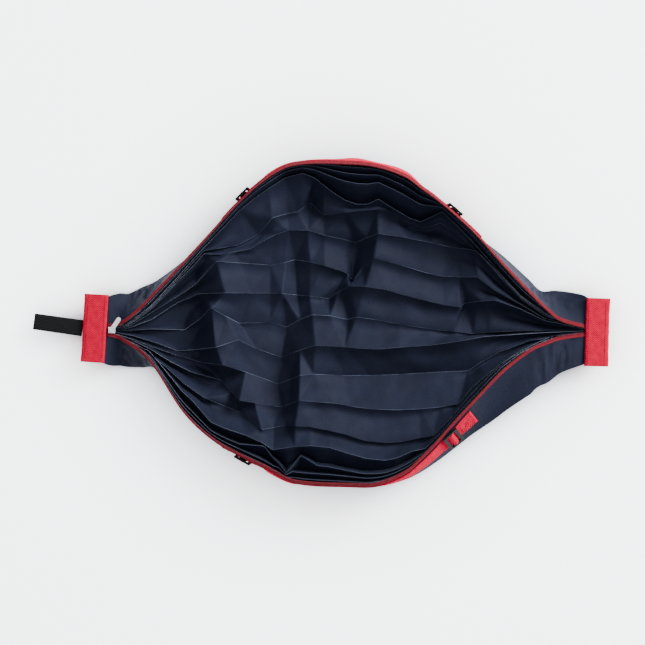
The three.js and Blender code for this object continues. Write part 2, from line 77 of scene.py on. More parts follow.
BAND_SHIFT_LEFT = 1  # middle of each band across the bag
BAND_SHIFT_RIGHT = -2
WEBBING = 1.4  # its thickness
PANEL = 36  # width of each pleat's panel
MOUTH_MIDDLE = 8  # middle of the mouth across the bag, which the frame's origin lies under
SKEW_LEFT = 0.06  # how far the ends are pulled askew, as x over y
SKEW_RIGHT = 0.03
SKEW_FROM = 190
RUN_STEP = 2  # how far to each side a direction along the bag is measured

ZIP_SEAM = -1.2  # from the cloth's rim to the tape, which is folded over it
ZIP_TAPE_WIDTH = 3.6
ZIP_TAPE_THICK = 0.7
ZIP_COIL_PLACE = 2.5  # middle of the coil from the rim
ZIP_COIL_PITCH = 1.25  # guessed, because the photo doesn't show single turns
COIL_HALF_LENGTH = 0.9  # of one turn, across the tape
COIL_HALF_WIDTH = 0.52
COIL_HALF_HEIGHT = 0.95
ZIP_END_GAP = 0.8
ZIP_STEP = 2.5  # spacing of the tape's cross-sections
ZIP_TILT = 55  # degrees that the tape is turned over from the outer panel
FLAT_TILT = 88  # the most that it is turned from upright

HANDLE_WIDTH = 20
HANDLE_DROP = 14  # from the rim down to the middle of a handle
SEWN_OFFSET = 1.5  # middle of a sewn handle end above the cloth
BUCKLE_LENGTH = 18
BUCKLE_SLOT = 5.2  # from a buckle's middle to the inner edge of its end bars
BUCKLE_CREST = 1.4  # where the webbing over a buckle's middle bar turns down
BUCKLE_EASE = 8  # length over which a handle turns from the cloth's way to a buckle's
OVER_BAR = 5.3  # middle of the webbing above the cloth, over a buckle's middle bar
HANDLE_STEP = 1.4  # spacing of a handle's cross-sections
BOX_MARGIN = 2.2  # from the edges of a sewn end to its box of stitches
BOX_BUCKLE_GAP = 0.5
BOX_PARTS = 6  # steps along each side of the box
STITCH_LIFT = 0.1  # middle of the thread above the webbing

LOOP_LENGTH = 52
LOOP_WIDTH = 17
LOOP_THICK = 1.3
LOOP_GAP = 0.8  # between the loop's two layers
LOOP_SEAT = 0.3  # between the loop and the band
LOOP_SHIFT = 0.7  # from the band's middle
LOOP_TURN = -4.5  # degrees out of square with the band
LOOP_DROOP = 4  # degrees below level
LOOP_STEP = 3  # spacing of its cross-sections

# Radius of the rounded edges of each fitting
FITTING_EDGES = {"buckle": 0.5, "zip_slider": 0.9, "zip_pull": 0.22}

# Cross-sections along the bag: the cloth's rims, their level, the width of the outer panels below them, the
# panels' degrees from upright and the level of the underside.
Section = namedtuple("Section", "x front back height panel front_lean back_lean keel")
SECTIONS = (
    Section(-249, -5.1, 5.1, 24, 30, 88, 88, 14.5),
    Section(-238, -7.8, 7.2, 24.1, 32.5, 65, 72, 10),
    Section(-229, -12.2, 11.2, 29, 34, 51, 52, 3),
    Section(-214, -21.3, 23.4, 33, 35, 31, 38, 0),
    Section(-199, -36.7, 37.8, 36.5, 35, 8, 24, 0),
    Section(-169, -82.5, 68.5, 41.5, 35, 1, 9, 0),
    Section(-140, -110.5, 99.5, 45, 35, -1, -5, 0),
    Section(-111, -127.5, 131, 48.5, 35, -5, -8, 0),
    Section(-82, -141, 156.3, 51.5, 35, 3, -3, 0),
    Section(-54, -154.8, 170.2, 54, 35, 2, 0, 0),
    Section(4, -158.5, 171.3, 56, 35, 3, 2, 0),
    Section(32, -157.5, 168, 56, 35, 6, 1, 0),
    Section(61, -145.5, 157.8, 54.5, 35, 18, 0, 0),
    Section(76, -132.5, 146.8, 53.3, 35, 28, -1, 0),
    Section(90, -118.5, 137, 52, 35, 36, -2, 0),
    Section(108, -98.5, 122.5, 50, 35.5, 46, -4, 0),
    Section(133, -72, 99.8, 46.5, 36, 57, 3, 0),
    Section(163, -42, 67.4, 41, 37, 74, 20, 0),
    Section(192, -20.7, 37.8, 36, 39, 86, 25.5, 0),
    Section(207, -14.6, 23.5, 32.5, 39, 88, 26.5, 0),
    Section(222, -9.5, 12.2, 28.5, 35.5, 88, 53, 5),
    Section(249, -5.7, 4.5, 24, 30, 88, 88, 14.5),
)

# The creases of the open floor, s to j from the front packet's inner ridge to the back one's. Each is a row
# of points (x, y, z) from the left band to the right one, with its kinks where the cloth buckles.
FLOOR_FOLDS = {
    "s": (
        (-249, -3, 17), (-230, -9.5, 19), (-204, -22, 24), (-170, -63, 27), (-157, -75, 28),
        (-140, -95, 29), (-126, -101, 30), (-105, -108, 30), (-87, -116, 30), (-76, -124, 25),
        (-53, -120, 30), (-37, -119, 33), (-17, -121, 34), (-1, -126, 34), (20, -132, 34), (40, -134, 34),
        (51, -132, 34), (67, -125, 33), (81, -122, 33), (98, -106, 32), (119, -82, 30), (140, -60, 28),
        (161, -39, 26), (181, -24, 24), (213, -9, 21), (249, -3, 17),
    ),
    "a": (
        (-249, -2.5, 17), (-220, -14, 18), (-188, -38, 21), (-168, -56, 22), (-147, -71, 20),
        (-112, -86, 12), (-87, -103, 26), (-76, -102, 18), (-63, -99, 20), (-53, -99, 27),
        (-37, -100, 27), (-17, -104, 26), (-1, -108, 25), (20, -115, 24), (40, -117, 24), (56, -116, 24),
        (77, -112, 25), (91, -109, 27), (108, -91, 27), (129, -67, 26), (150, -46, 24), (171, -29, 22),
        (202, -12.5, 20), (249, -2.5, 17),
    ),
    "b": (
        (-249, -2, 17), (-220, -12, 18), (-204, -20, 19), (-183, -33, 19), (-162, -44, 15),
        (-142, -50, 11), (-131, -53, 8), (-118, -66, 18), (-110, -73, 26), (-95, -76, 19), (-81, -79, 14),
        (-68, -81, 12), (-58, -77, 17), (-49, -73, 25), (-11, -76, 23), (4, -79, 22), (25, -82, 22),
        (51, -83, 22), (77, -82, 22), (98, -80, 22), (117, -77, 22), (129, -62, 22), (145, -48, 22),
        (161, -35, 22), (181, -22, 21), (213, -7, 20), (249, -2, 17),
    ),
    "c": (
        (-249, -1.5, 17), (-223, -9.5, 18), (-204, -17.5, 13), (-178, -27, 9), (-153, -34, 10),
        (-128, -36, 26), (-105, -44, 16), (-84, -52, 11), (-72, -57, 8), (-58, -52, 12), (-48, -47, 23),
        (-34, -46, 19), (-1, -48, 12), (25, -48, 10), (56, -47, 9), (88, -45, 9), (129, -43, 11),
        (140, -35, 14), (161, -23, 16), (192, -11.5, 17), (249, -1.5, 17),
    ),
    "d": (
        (-249, -1, 17), (-223, -6, 17), (-204, -12, 12), (-178, -22, 8), (-160, -21, 11), (-135, -18, 25),
        (-112, -10, 21), (-95, -19, 15), (-79, -25, 12), (-68, -29, 9), (-48, -21, 18), (-32, -16, 24),
        (-17, -17, 23), (-1, -18, 22), (32, -20, 22), (56, -18, 22), (88, -16, 21), (119, -11.5, 21),
        (143, -7, 22), (171, -5, 20), (202, -3, 19), (249, -1, 17),
    ),
    "e": (
        (-249, 0, 17), (-230, -1, 16), (-204, 1, 12), (-170, 0, 7), (-152, 12, 16), (-140, 23, 26),
        (-126, 15, 20), (-112, 7, 14), (-79, 8, 14), (-63, 3, 7), (-48, 11, 14), (-35, 16, 20),
        (-17, 15, 19), (2, 11, 13), (11, 13.5, 18), (30, 11, 18), (56, 6, 17), (88, 1, 15), (114, -2, 14),
        (134, -4, 12), (150, -2.5, 14), (181, -1, 16), (249, 0, 17),
    ),
    "f": (
        (-249, 1, 17), (-230, 1, 17), (-204, 11, 13), (-178, 28, 12), (-154, 38, 15), (-125, 38.5, 25),
        (-100, 38.5, 17), (-79, 38.5, 16), (-66, 38, 19), (-52, 37, 8), (-38, 35.5, 14), (-25, 34, 12),
        (-18, 33, 7), (-6, 41, 14), (4, 46, 20), (20, 45, 24), (41, 42, 23), (56, 37.5, 22), (77, 32, 21),
        (103, 26, 20), (119, 24, 19), (125, 28, 12), (140, 30, 20), (155, 31, 24), (181, 22, 22),
        (207, 10, 20), (249, 1, 17),
    ),
    "g": (
        (-249, 1.5, 17), (-230, 2.5, 17), (-204, 18, 15), (-178, 34, 15), (-157, 48, 17), (-134, 71, 28),
        (-110, 70, 19), (-79, 68, 14), (-63, 71, 14), (-54, 74, 10), (-37, 71, 16), (-22, 67, 18),
        (1, 60, 14), (7, 52, 8), (17, 66, 16), (29, 75, 23), (56, 68, 20), (82, 60, 20), (101, 56, 19),
        (119, 55, 20), (136, 55, 24), (155, 41, 24), (181, 27, 23), (207, 12, 20), (249, 1.5, 17),
    ),
    "h": (
        (-249, 2, 17), (-230, 3.5, 18), (-204, 21, 20), (-178, 47, 23), (-157, 68, 25), (-147, 79, 26),
        (-131, 78, 24), (-116, 81, 23), (-100, 84, 22), (-87, 92, 21), (-74, 99, 20), (-60, 104, 20),
        (-40, 104, 20), (-22, 99, 17), (-1, 95, 13), (10, 92, 8), (21, 96, 16), (33, 100, 24),
        (62, 96, 22), (88, 91, 20), (112, 86, 18), (127, 84, 22), (134, 82, 27), (145, 71, 28),
        (161, 53, 27), (181, 33, 25), (207, 15, 21), (249, 2, 17),
    ),
    "i": (
        (-249, 2.5, 17), (-230, 4.3, 18), (-204, 22.5, 21), (-178, 49, 24), (-147, 82, 27),
        (-113, 88, 22), (-92, 99, 20), (-76, 116, 27), (-61, 121, 21), (-50, 123, 21), (-37, 134, 13),
        (-24, 120, 19), (-1, 122, 24), (33, 125, 26), (51, 121, 22), (65, 112, 18), (77, 107, 16),
        (88, 108, 16), (99, 112, 18), (114, 101, 20), (129, 88, 22), (145, 73, 27), (161, 55, 27),
        (181, 34.5, 26), (207, 16.5, 22), (249, 2.5, 17),
    ),
    "j": (
        (-249, 3, 17), (-230, 5.5, 19), (-204, 24, 23), (-178, 51, 27), (-147, 85, 30), (-126, 106, 32),
        (-110, 123, 33), (-95, 135, 34), (-79, 146, 36), (-63, 157, 30), (-45, 161, 37), (-32, 156, 36),
        (-22, 148, 34), (-11, 140, 31), (-1, 134, 29), (11, 130, 27), (22, 130, 27), (33, 135, 31),
        (51, 124, 29), (65, 116, 26), (77, 112, 25), (88, 117, 28), (99, 122, 32), (114, 108, 31),
        (129, 93, 30), (145, 75, 30), (161, 57, 29), (181, 36, 27), (207, 18, 23), (249, 3, 17),
    ),
}
# How deep the panel behind each floor fold sags below the line between its creases
SAGS = {"s": 8, "a": 6, "b": 2.5, "c": 2.5, "d": 5, "e": 5, "f": 5, "g": 5, "h": 5, "i": 6}
END_SAG = 11  # how much deeper the panels hang between the gathered layers near the ends
END_SAG_FROM = 110  # where that starts, and over what length
END_SAG_RUN = 80
BAND_SAG_RUN = 40  # length beside a band over which the panels are drawn flat
SAG_PLACE = 1.8  # over 1, so that a panel hangs deepest beyond its middle
BUCKLED = (-150, -20)  # where the floor is buckled, so that its panels hang less
BUCKLED_RUN = 30
BUCKLED_SAG = 0.5  # share of their sag that is lost there
KINK_SOFTNESS = 0.7  # length over which a kink of a fold is rounded
FLOOR_LEVEL = 17  # about which the folds between s and j rise and fall
FLOOR_RELIEF = 1.9  # how much further they do so than the table says, to stand out as in the photo
LEAST_FOLD = 1  # lowest level of a fold
LEAST_HEIGHT = 1  # of an outer panel, where its slope is worked out

# Packets of upright layers beside the zip. Their tops lie between the rim, 0, and the floor's first ridge, 1.
# An outer top has its own place and its greatest share of the inmost one's, which is given as pairs of x and
# place.
OUTER_TOPS = ((0.12, 0.27), (0.28, 0.64))
INMOST_TOPS = {
    "front": (
        (-249, 0.44), (-110, 0.5), (-84, 0.9), (-62, 0.2), (-47, 0.74), (-30, 0.5), (14, 0.44), (249, 0.44),
    ),
    "back": ((-249, 0.5), (249, 0.5)),
}
PACKET_LIFT = 8  # how far the packets' inner ridges stand above the table's values, at the widest part
PACKET_LIFT_RUN = 140  # length from a band over which they rise so far
PACKET_DROP = 17  # from a packet's tops down to its low folds
PACKET_SLANT = 0.04  # where a low fold lies between two tops, from the one nearer the front
LAYER_GAP = 1.5  # least distance of the low folds from the outer panel
FLOOR_FROM = 2 + 2 * (len(OUTER_TOPS) + 1)  # the first floor fold, counted from the front rim

Handle = namedtuple("Handle", "patch_left buckle_left buckle_right patch_right")
HANDLES = {
    "front": Handle(-127, -104, 108, 131),
    "back": Handle(-126, -103, 108.5, 138),
}
# How far the lower edge of each handle's free webbing stands off the cloth, as pairs of x and distance
BULGES = {
    "front": ((-91, 0), (-78, 2.6), (-58, 2), (-36, 0.3), (96, 0)),
    "back": ((-91, 0), (-80, 3.6), (-48, 2), (-15, 2.4), (8, 4.2), (30, 3), (56, 4.8), (80, 2.4), (96, 0)),
}

# Steps across one panel, close together beside its creases so that they stay crisp
FLOOR_STEPS = (0, 0.025, 0.08, 0.15, 0.22, 0.29, 0.36, 0.43, 0.5, 0.57, 0.64, 0.71, 0.78, 0.85, 0.92, 0.975)
PACKET_STEPS = (0, 0.025, 0.2, 0.5, 0.8, 0.975)
CREST = 0.4  # half the width of a crease's rounded top
CREST_DROP = CREST / 3
CLOTH_STEP = 1.45  # spacing of the cloth's cross-sections
LEAST_LEVEL = 0.3  # of the cloth over the table
KEEL_GAP = 1  # of the outer panels and low folds over the underside

# Soft wrinkles: their length along the bag, how far apart two panels lie in the noise, and their turns across
# a panel
Wrinkle = namedtuple("Wrinkle", "length apart turns")
BROAD = Wrinkle(36, 3.7, 1.3)
FINE = Wrinkle(12, 5.3, 2.6)
SLANTED = Wrinkle(13, 2.1, 2.2)
FINE_SHARE = 0.4  # depth of the fine ones on the floor, as a share of the broad ones'
PANEL_BROAD = 0.4  # depths on the other panels
PANEL_FINE = 0.15
CALM_RUN = 25  # length beside a band over which they fade out
END_WRINKLE = 14  # depth of the slanted wrinkles between the handles and the bands
END_WRINKLE_LEVEL = 0.2  # level of the noise that is taken as flat
END_WRINKLE_FROM = 180
END_WRINKLE_RUN = 30

# The stage, in metres and watts where a comment doesn't say otherwise
Lamp = namedtuple("Lamp", "name place size power")
KEY = Lamp("key", (2.15, 1.68, 1.73), 1.75, 288)
OVERHEAD = Lamp("overhead", (-0.4, -0.2, 2.2), 0.8, 14)
WORLD_STRENGTH = 0.55
TABLE_HALF = 6.0
TABLE_GLOW = 3.9
SHADE_REACH = 0.13  # how far from the bag the table's glow is dimmed, as a painted shadow
SHADE_FULL = 0.45  # share of open sky at which the table's glow is gone
PHOTO_SIDE = 645  # pixels
PIXEL = 1.04 * MM  # what one shows at the level of the bands
BAND_LEVEL = 25 * MM
CAMERA_X = -24.4  # the camera's place over the drawing, in millimetres
CAMERA_Y = 7.8
SENSOR = 36  # millimetres


class BagSizes(bpy.types.PropertyGroup):
    """Sizes that a user of the bag would change."""

    wrinkle: FloatProperty(
        name="Wrinkles",
        description="Depth of the cloth's soft wrinkles on the open floor",
        default=0.0018,
        unit="LENGTH",
    )
    stitch: FloatProperty(
        name="Stitch", description="Length of one stitch of the sewing thread", default=0.0026, unit="LENGTH"
    )
    camera_height: FloatProperty(
        name="Camera height", description="Height of the camera over the table", default=1.6, unit="LENGTH"
    )


class BagColours(bpy.types.PropertyGroup):
    """Colours of the bag's materials, as sRGB hex values."""

    cloth: StringProperty(name="Cloth", description="Colour of the pleated cloth", default="#111421")
    # The crease colours paint a pale line on each crease, partly wear and partly painted highlight; the paler
    # one near the bands is painted highlight.
    crease: StringProperty(name="Creases", description="Colour of the worn creases", default="#5B6478")
    gathered_crease_highlight: StringProperty(
        name="Gathered creases", description="Colour of the worn creases near the bands", default="#8C95A9"
    )
    webbing: StringProperty(name="Webbing", description="Colour of the handles and bands", default="#CE0436")
    thread: StringProperty(name="Thread", description="Colour of the sewing thread", default="#980C30")
    zip_tape: StringProperty(name="Zip", description="Colour of the zip's tape and coil", default="#7B2630")
    elastic: StringProperty(name="Elastic", description="Colour of the closing loop", default="#101113")
    plastic: StringProperty(name="Buckles", description="Colour of the strap adjusters", default="#0A0B0C")
    metal: StringProperty(name="Metal", description="Colour of the zip slider and pull", default="#BFC1C5")
    table: StringProperty(name="Table", description="Colour of the table top", default="#F0F3F7")


def sizes():
    return bpy.context.scene.bag_sizes


def colours():
    return bpy.context.scene.bag_colours


def smooth(value):
    """Eases from 0 to 1 as value goes from 0 to 1."""
    value = min(max(value, 0.0), 1.0)
    return value * value * (3 - 2 * value)


def along(column, x):
    """A column of the section table at x, eased between rows with the slopes of their neighbours."""
    last = len(SECTIONS) - 1
    if x <= SECTIONS[0].x:
        return getattr(SECTIONS[0], column)
    if x >= SECTIONS[last].x:
        return getattr(SECTIONS[last], column)
    row = next(i for i in range(last) if SECTIONS[i + 1].x > x)

    def slope(k):
        before, after = SECTIONS[max(k - 1, 0)], SECTIONS[min(k + 1, last)]
        return (getattr(after, column) - getattr(before, column)) / (after.x - before.x)

    start, end = SECTIONS[row], SECTIONS[row + 1]
    width = end.x - start.x
    s = (x - start.x) / width
    blend = s * s * (3 - 2 * s)
    bend = s * (1 - s) * width * (slope(row) * (1 - s) - slope(row + 1) * s)
    return getattr(start, column) * (1 - blend) + getattr(end, column) * blend + bend


def place(x, y, z):
    """A place in the drawing's millimetres as one in the frame, with the gathered ends pulled askew."""
    amount = smooth((abs(x) - SKEW_FROM) / (BAND_FACE - SKEW_FROM))
    shift = y * amount * (SKEW_LEFT if x < 0 else SKEW_RIGHT)
    return Vector((x + shift, y - MOUTH_MIDDLE, z)) * MM


Rim = namedtuple("Rim", "point down stretch out")


def rim_of(side, x):
    """One side's rim at x: its point across the bag (y, z), the way down its panel and that panel's stretch.

    out is -1 at the front and 1 at the back.
    """
    out = -1 if side == "front" else 1
    lean = math.radians(along(side + "_lean", x))
    down = Vector((out * math.sin(lean), -math.cos(lean)))
    before, after = x - RUN_STEP, x + RUN_STEP
    rise = along("height", after) - along("height", before)
    run = Vector((after - before, along(side, after) - along(side, before), rise)).normalized()
    slant = run.y * down.x + run.z * down.y
    point = Vector((along(side, x), along("height", x)))
    return Rim(point, down, 1 / math.sqrt(1 - slant * slant), out)


def panel_foot(rim, x):
    """The fold at the foot of one side's outer panel, across the bag."""
    foot = rim.point + rim.down * along("panel", x) * rim.stretch
    foot.y = max(foot.y, along("keel", x) + KEEL_GAP, LEAST_LEVEL)
    return foot


def fold_line(name):
    """A floor fold's kinks, with their relief."""
    points = []
    for x, y, z in FLOOR_FOLDS[name]:
        if name in ("s", "j"):
            lift = PACKET_LIFT * smooth((BAND_FACE - abs(x)) / PACKET_LIFT_RUN)
        else:
            lift = (z - FLOOR_LEVEL) * (FLOOR_RELIEF - 1)
        points.append(Vector((x, y, max(z + lift, LEAST_FOLD))))
    return points


FOLD_LINES = [fold_line(name) for name in FLOOR_FOLDS]


def fold_point(number, x):
    """A floor fold's point at x, straight between its kinks, which are a little rounded."""

    def straight(at):
        points = FOLD_LINES[number]
        after = next((i for i in range(1, len(points)) if points[i].x >= at), len(points) - 1)
        start, end = points[after - 1], points[after]
        return start.lerp(end, (at - start.x) / (end.x - start.x))

    around = (straight(x - KINK_SOFTNESS), straight(x), straight(x), straight(x + KINK_SOFTNESS))
    return sum(around, Vector((0, 0, 0))) / len(around)


def strip_facets(near, far):
    """The flat facets between two neighbouring folds, joining their kinks the shorter way across."""
    facets = []
    i = j = 0
    while i + 1 < len(near) or j + 1 < len(far):
        near_way = (near[i + 1] - far[j]).length if i + 1 < len(near) else math.inf
        far_way = (far[j + 1] - near[i]).length if j + 1 < len(far) else math.inf
        if near_way <= far_way:
            facets.append((near[i], near[i + 1], far[j]))
            i += 1
        else:
            facets.append((near[i], far[j + 1], far[j]))
            j += 1
    return facets


STRIPS = [strip_facets(near, far) for near, far in zip(FOLD_LINES, FOLD_LINES[1:])]


def facet_level(strip, x, y):
    """The level at x and y of the facet that holds them, or else of the nearest."""
    best = -math.inf
    level = FLOOR_LEVEL
    for a, b, c in STRIPS[strip]:
        if not min(a.x, b.x, c.x) <= x <= max(a.x, b.x, c.x):
            continue
        area = (b.x - a.x) * (c.y - a.y) - (c.x - a.x) * (b.y - a.y)
        share_b = ((x - a.x) * (c.y - a.y) - (c.x - a.x) * (y - a.y)) / area
        share_c = ((b.x - a.x) * (y - a.y) - (x - a.x) * (b.y - a.y)) / area
        least = min(share_b, share_c, 1 - share_b - share_c)
        if least > best:
            best = least
            level = a.z + (b.z - a.z) * share_b + (c.z - a.z) * share_c
    return level


def between(pairs, x, eased=False):
    """The value at x on straight or eased lines through pairs of x and value."""
    after = next((i for i in range(1, len(pairs)) if pairs[i][0] >= x), len(pairs) - 1)
    (x0, start), (x1, end) = pairs[after - 1], pairs[after]
    share = (x - x0) / (x1 - x0)
    return start + (end - start) * (smooth(share) if eased else share)


def packet(side, x, ridge):
    """The folds of one side's upright layers at x, from the rim inwards."""
    rim = rim_of(side, x)
    foot = panel_foot(rim, x)
    inmost = between(INMOST_TOPS[side], x)
    top = Vector((x, rim.point.x, rim.point.y))
    shares = [min(place_of, most * inmost) for place_of, most in OUTER_TOPS] + [inmost]
    tops = [top.lerp(ridge, share) for share in shares] + [ridge]
    points = [top, Vector((x, foot.x, foot.y)), tops[0]]
    lowest = along("keel", x) + KEEL_GAP
    near = 1 - PACKET_SLANT if side == "back" else PACKET_SLANT
    for outer, inner in zip(tops, tops[1:]):
        low = outer.lerp(inner, near)
        low.z = max(min(outer.z, inner.z) - PACKET_DROP, lowest)
        down = (top.z - low.z) / max(top.z - foot.y, LEAST_HEIGHT)
        panel_y = top.y + (foot.x - top.y) * down
        if (panel_y - low.y) * rim.out < LAYER_GAP:
            low.y = panel_y - LAYER_GAP * rim.out
        points += [low, inner]
    return points[:-1]


def creases(x):
    """The creases of the cloth at x, from the front rim to the back rim, as points of the drawing."""
    floor = [fold_point(number, x) for number in range(len(FOLD_LINES))]
    front = packet("front", x, floor[0])
    back = packet("back", x, floor[-1])
    return front + floor + back[::-1]


def sag(x, fold, step):
    """How far the floor's panel after a fold hangs below the line between its creases, in millimetres."""
    number = fold - FLOOR_FROM
    if not 0 <= number < len(FLOOR_FOLDS) - 1:
        return 0.0
    gathered = smooth((abs(x) - END_SAG_FROM) / END_SAG_RUN)
    depth = list(SAGS.values())[number] + END_SAG * gathered
    depth *= smooth((BAND_FACE - abs(x)) / BAND_SAG_RUN)
    first, last = BUCKLED
    buckled = smooth((x - first) / BUCKLED_RUN) * smooth((last - x) / BUCKLED_RUN)
    return depth * (1 - BUCKLED_SAG * buckled) * math.sin(math.pi * step**SAG_PLACE)


def stations(start, end, step):
    count = math.ceil((end - start) / step)
    return [start + (end - start) * i / count for i in range(count + 1)]


def linear(hex_colour):
    """An sRGB hex value as a linear colour with full alpha."""
    channels = [int(hex_colour[i : i + 2], 16) / 255 for i in (1, 3, 5)]
    return [c / 12.92 if c <= 0.04045 else ((c + 0.055) / 1.055) ** 2.4 for c in channels] + [1.0]


def add_node(tree, kind, inputs=None, **settings):
    """Adds a node with its settings, and sets or links its inputs by name or number."""
    node = tree.nodes.new(kind)
    for name, value in settings.items():
        setattr(node, name, value)
    for socket, value in (inputs or {}).items():
        if isinstance(value, bpy.types.NodeSocket):
            tree.links.new(value, node.inputs[socket])
        else:
            node.inputs[socket].default_value = value
    return node


def new_material(name):
    """An empty material with its shader, ready for nodes: (material, tree, shader)."""
    material = bpy.data.materials.new(name)
    material.use_nodes = True
    tree = material.node_tree
    return material, tree, tree.nodes["Principled BSDF"]


def flat_coordinates(tree):
    """The cloth's or webbing's flat coordinates in metres, along and across, from its UV map."""
    uv = add_node(tree, "ShaderNodeUVMap", uv_map="flat")
    parts = add_node(tree, "ShaderNodeSeparateXYZ", {0: uv.outputs[0]})
    return uv.outputs[0], parts.outputs[0], parts.outputs[1]


def waves(tree, distance, spacing):
    """A sine wave of that spacing, in metres, along a distance."""
    turns = add_node(tree, "ShaderNodeMath", {0: distance, 1: 2 * math.pi / spacing}, operation="MULTIPLY")
    return add_node(tree, "ShaderNodeMath", {0: turns.outputs[0]}, operation="SINE").outputs[0]


def polyester_cloth():
    """Plain-woven polyester pressed in pleats: dark, nearly matt, each crease with a pale line of wear and
    painted highlight.
    """
    material, tree, shader = new_material("polyester_plain_weave_pleated")
    flat, lengthways, across = flat_coordinates(tree)
    thread = 1.0 * MM  # such cloth usually has about 0.25 mm, too fine to show, so it is drawn coarser
    warp = waves(tree, across, thread)
    weft = waves(tree, lengthways, thread)
    weave = add_node(tree, "ShaderNodeMath", {0: warp, 1: weft}, operation="MULTIPLY")
    pale = [c * 1.9 for c in linear(colours().cloth)[:3]] + [1]
    mottle = add_node(tree, "ShaderNodeTexNoise", {"Vector": flat, "Scale": 1 / (30 * MM), "Detail": 6.0})
    slub = add_node(tree, "ShaderNodeTexNoise", {"Vector": flat, "Scale": 1 / (1.3 * MM), "Detail": 1.0})
    tone = add_node(tree, "ShaderNodeMath", {0: mottle.outputs[0], 1: slub.outputs[0]}, operation="MULTIPLY")
    tone = add_node(tree, "ShaderNodeMapRange", {0: tone.outputs[0], 1: 0.1, 2: 0.4})
    shade = add_node(
        tree, "ShaderNodeMix", {0: tone.outputs[0], 6: linear(colours().cloth), 7: pale}, data_type="RGBA"
    )
    # Pale line along each crease: partly wear, partly a painted highlight on the crest.
    from_crease = add_node(tree, "ShaderNodeMath", {0: across, 1: PANEL * MM / 2}, operation="PINGPONG")
    line_edges = {1: 0.08 * MM, 2: 0.45 * MM, 3: 1.0, 4: 0.0}
    line = add_node(tree, "ShaderNodeMapRange", {0: from_crease.outputs[0], **line_edges})
    rub_and_highlight = add_node(tree, "ShaderNodeTexNoise", {"Vector": flat, "Scale": 1 / (22 * MM), "Detail": 3.0})
    rub_and_highlight = add_node(tree, "ShaderNodeMapRange", {0: rub_and_highlight.outputs[0], 1: 0.35, 2: 0.65, 3: 0.05, 4: 0.85})
    # Painted highlight, to stay bright in shade: the upright layers' edges are lined all along, the creases
    # near the bands more so.
    floor_panels = len(FLOOR_FOLDS) - 1
    middle = (FLOOR_FROM + floor_panels / 2) * PANEL * MM
    half_floor = (floor_panels - 0.5) / 2 * PANEL * MM
    away = add_node(tree, "ShaderNodeMath", {0: across, 1: middle}, operation="SUBTRACT")
    away = add_node(tree, "ShaderNodeMath", {0: away.outputs[0]}, operation="ABSOLUTE")
    upright = add_node(tree, "ShaderNodeMath", {0: away.outputs[0], 1: half_floor}, operation="GREATER_THAN")
    upright = add_node(tree, "ShaderNodeMath", {0: upright.outputs[0], 1: 0.6}, operation="MULTIPLY")
    from_mid_bag = add_node(tree, "ShaderNodeMath", {0: lengthways}, operation="ABSOLUTE")
    gathered = add_node(tree, "ShaderNodeMapRange", {0: from_mid_bag.outputs[0], 1: 100 * MM, 2: 180 * MM})
    for also in (upright, gathered):
        rub_and_highlight = add_node(tree, "ShaderNodeMath", {0: rub_and_highlight.outputs[0], 1: also.outputs[0]}, operation="MAXIMUM")
    painted_highlight_and_wear = add_node(tree, "ShaderNodeMath", {0: line.outputs[0], 1: rub_and_highlight.outputs[0]}, operation="MULTIPLY")
    edge = add_node(
        tree,
        "ShaderNodeMix",
        {0: gathered.outputs[0], 6: linear(colours().crease), 7: linear(colours().gathered_crease_highlight)},
        data_type="RGBA",
    )
    colour = {0: painted_highlight_and_wear.outputs[0], 6: shade.outputs[2], 7: edge.outputs[2]}
    creased = add_node(tree, "ShaderNodeMix", colour, data_type="RGBA")
    crumple = add_node(tree, "ShaderNodeTexNoise", {"Vector": flat, "Scale": 1 / (9 * MM), "Detail": 3.0})
    relief = {"Height": crumple.outputs[0], "Strength": 0.3, "Distance": 0.8 * MM}
    soft = add_node(tree, "ShaderNodeBump", relief)
    bump = add_node(
        tree,
        "ShaderNodeBump",
        {"Height": weave.outputs[0], "Strength": 0.15, "Distance": 0.08 * MM, "Normal": soft.outputs[0]},
    )
    tree.links.new(creased.outputs[2], shader.inputs["Base Color"])
    tree.links.new(bump.outputs[0], shader.inputs["Normal"])
    shader.inputs["Roughness"].default_value = 0.7
    shader.inputs["IOR"].default_value = 1.5
    shader.inputs["Specular IOR Level"].default_value = 0.1
    shader.inputs["Sheen Weight"].default_value = 0.05
    shader.inputs["Sheen Roughness"].default_value = 0.4
    shader.inputs["Sheen Tint"].default_value = linear("#8793AD")
    return material


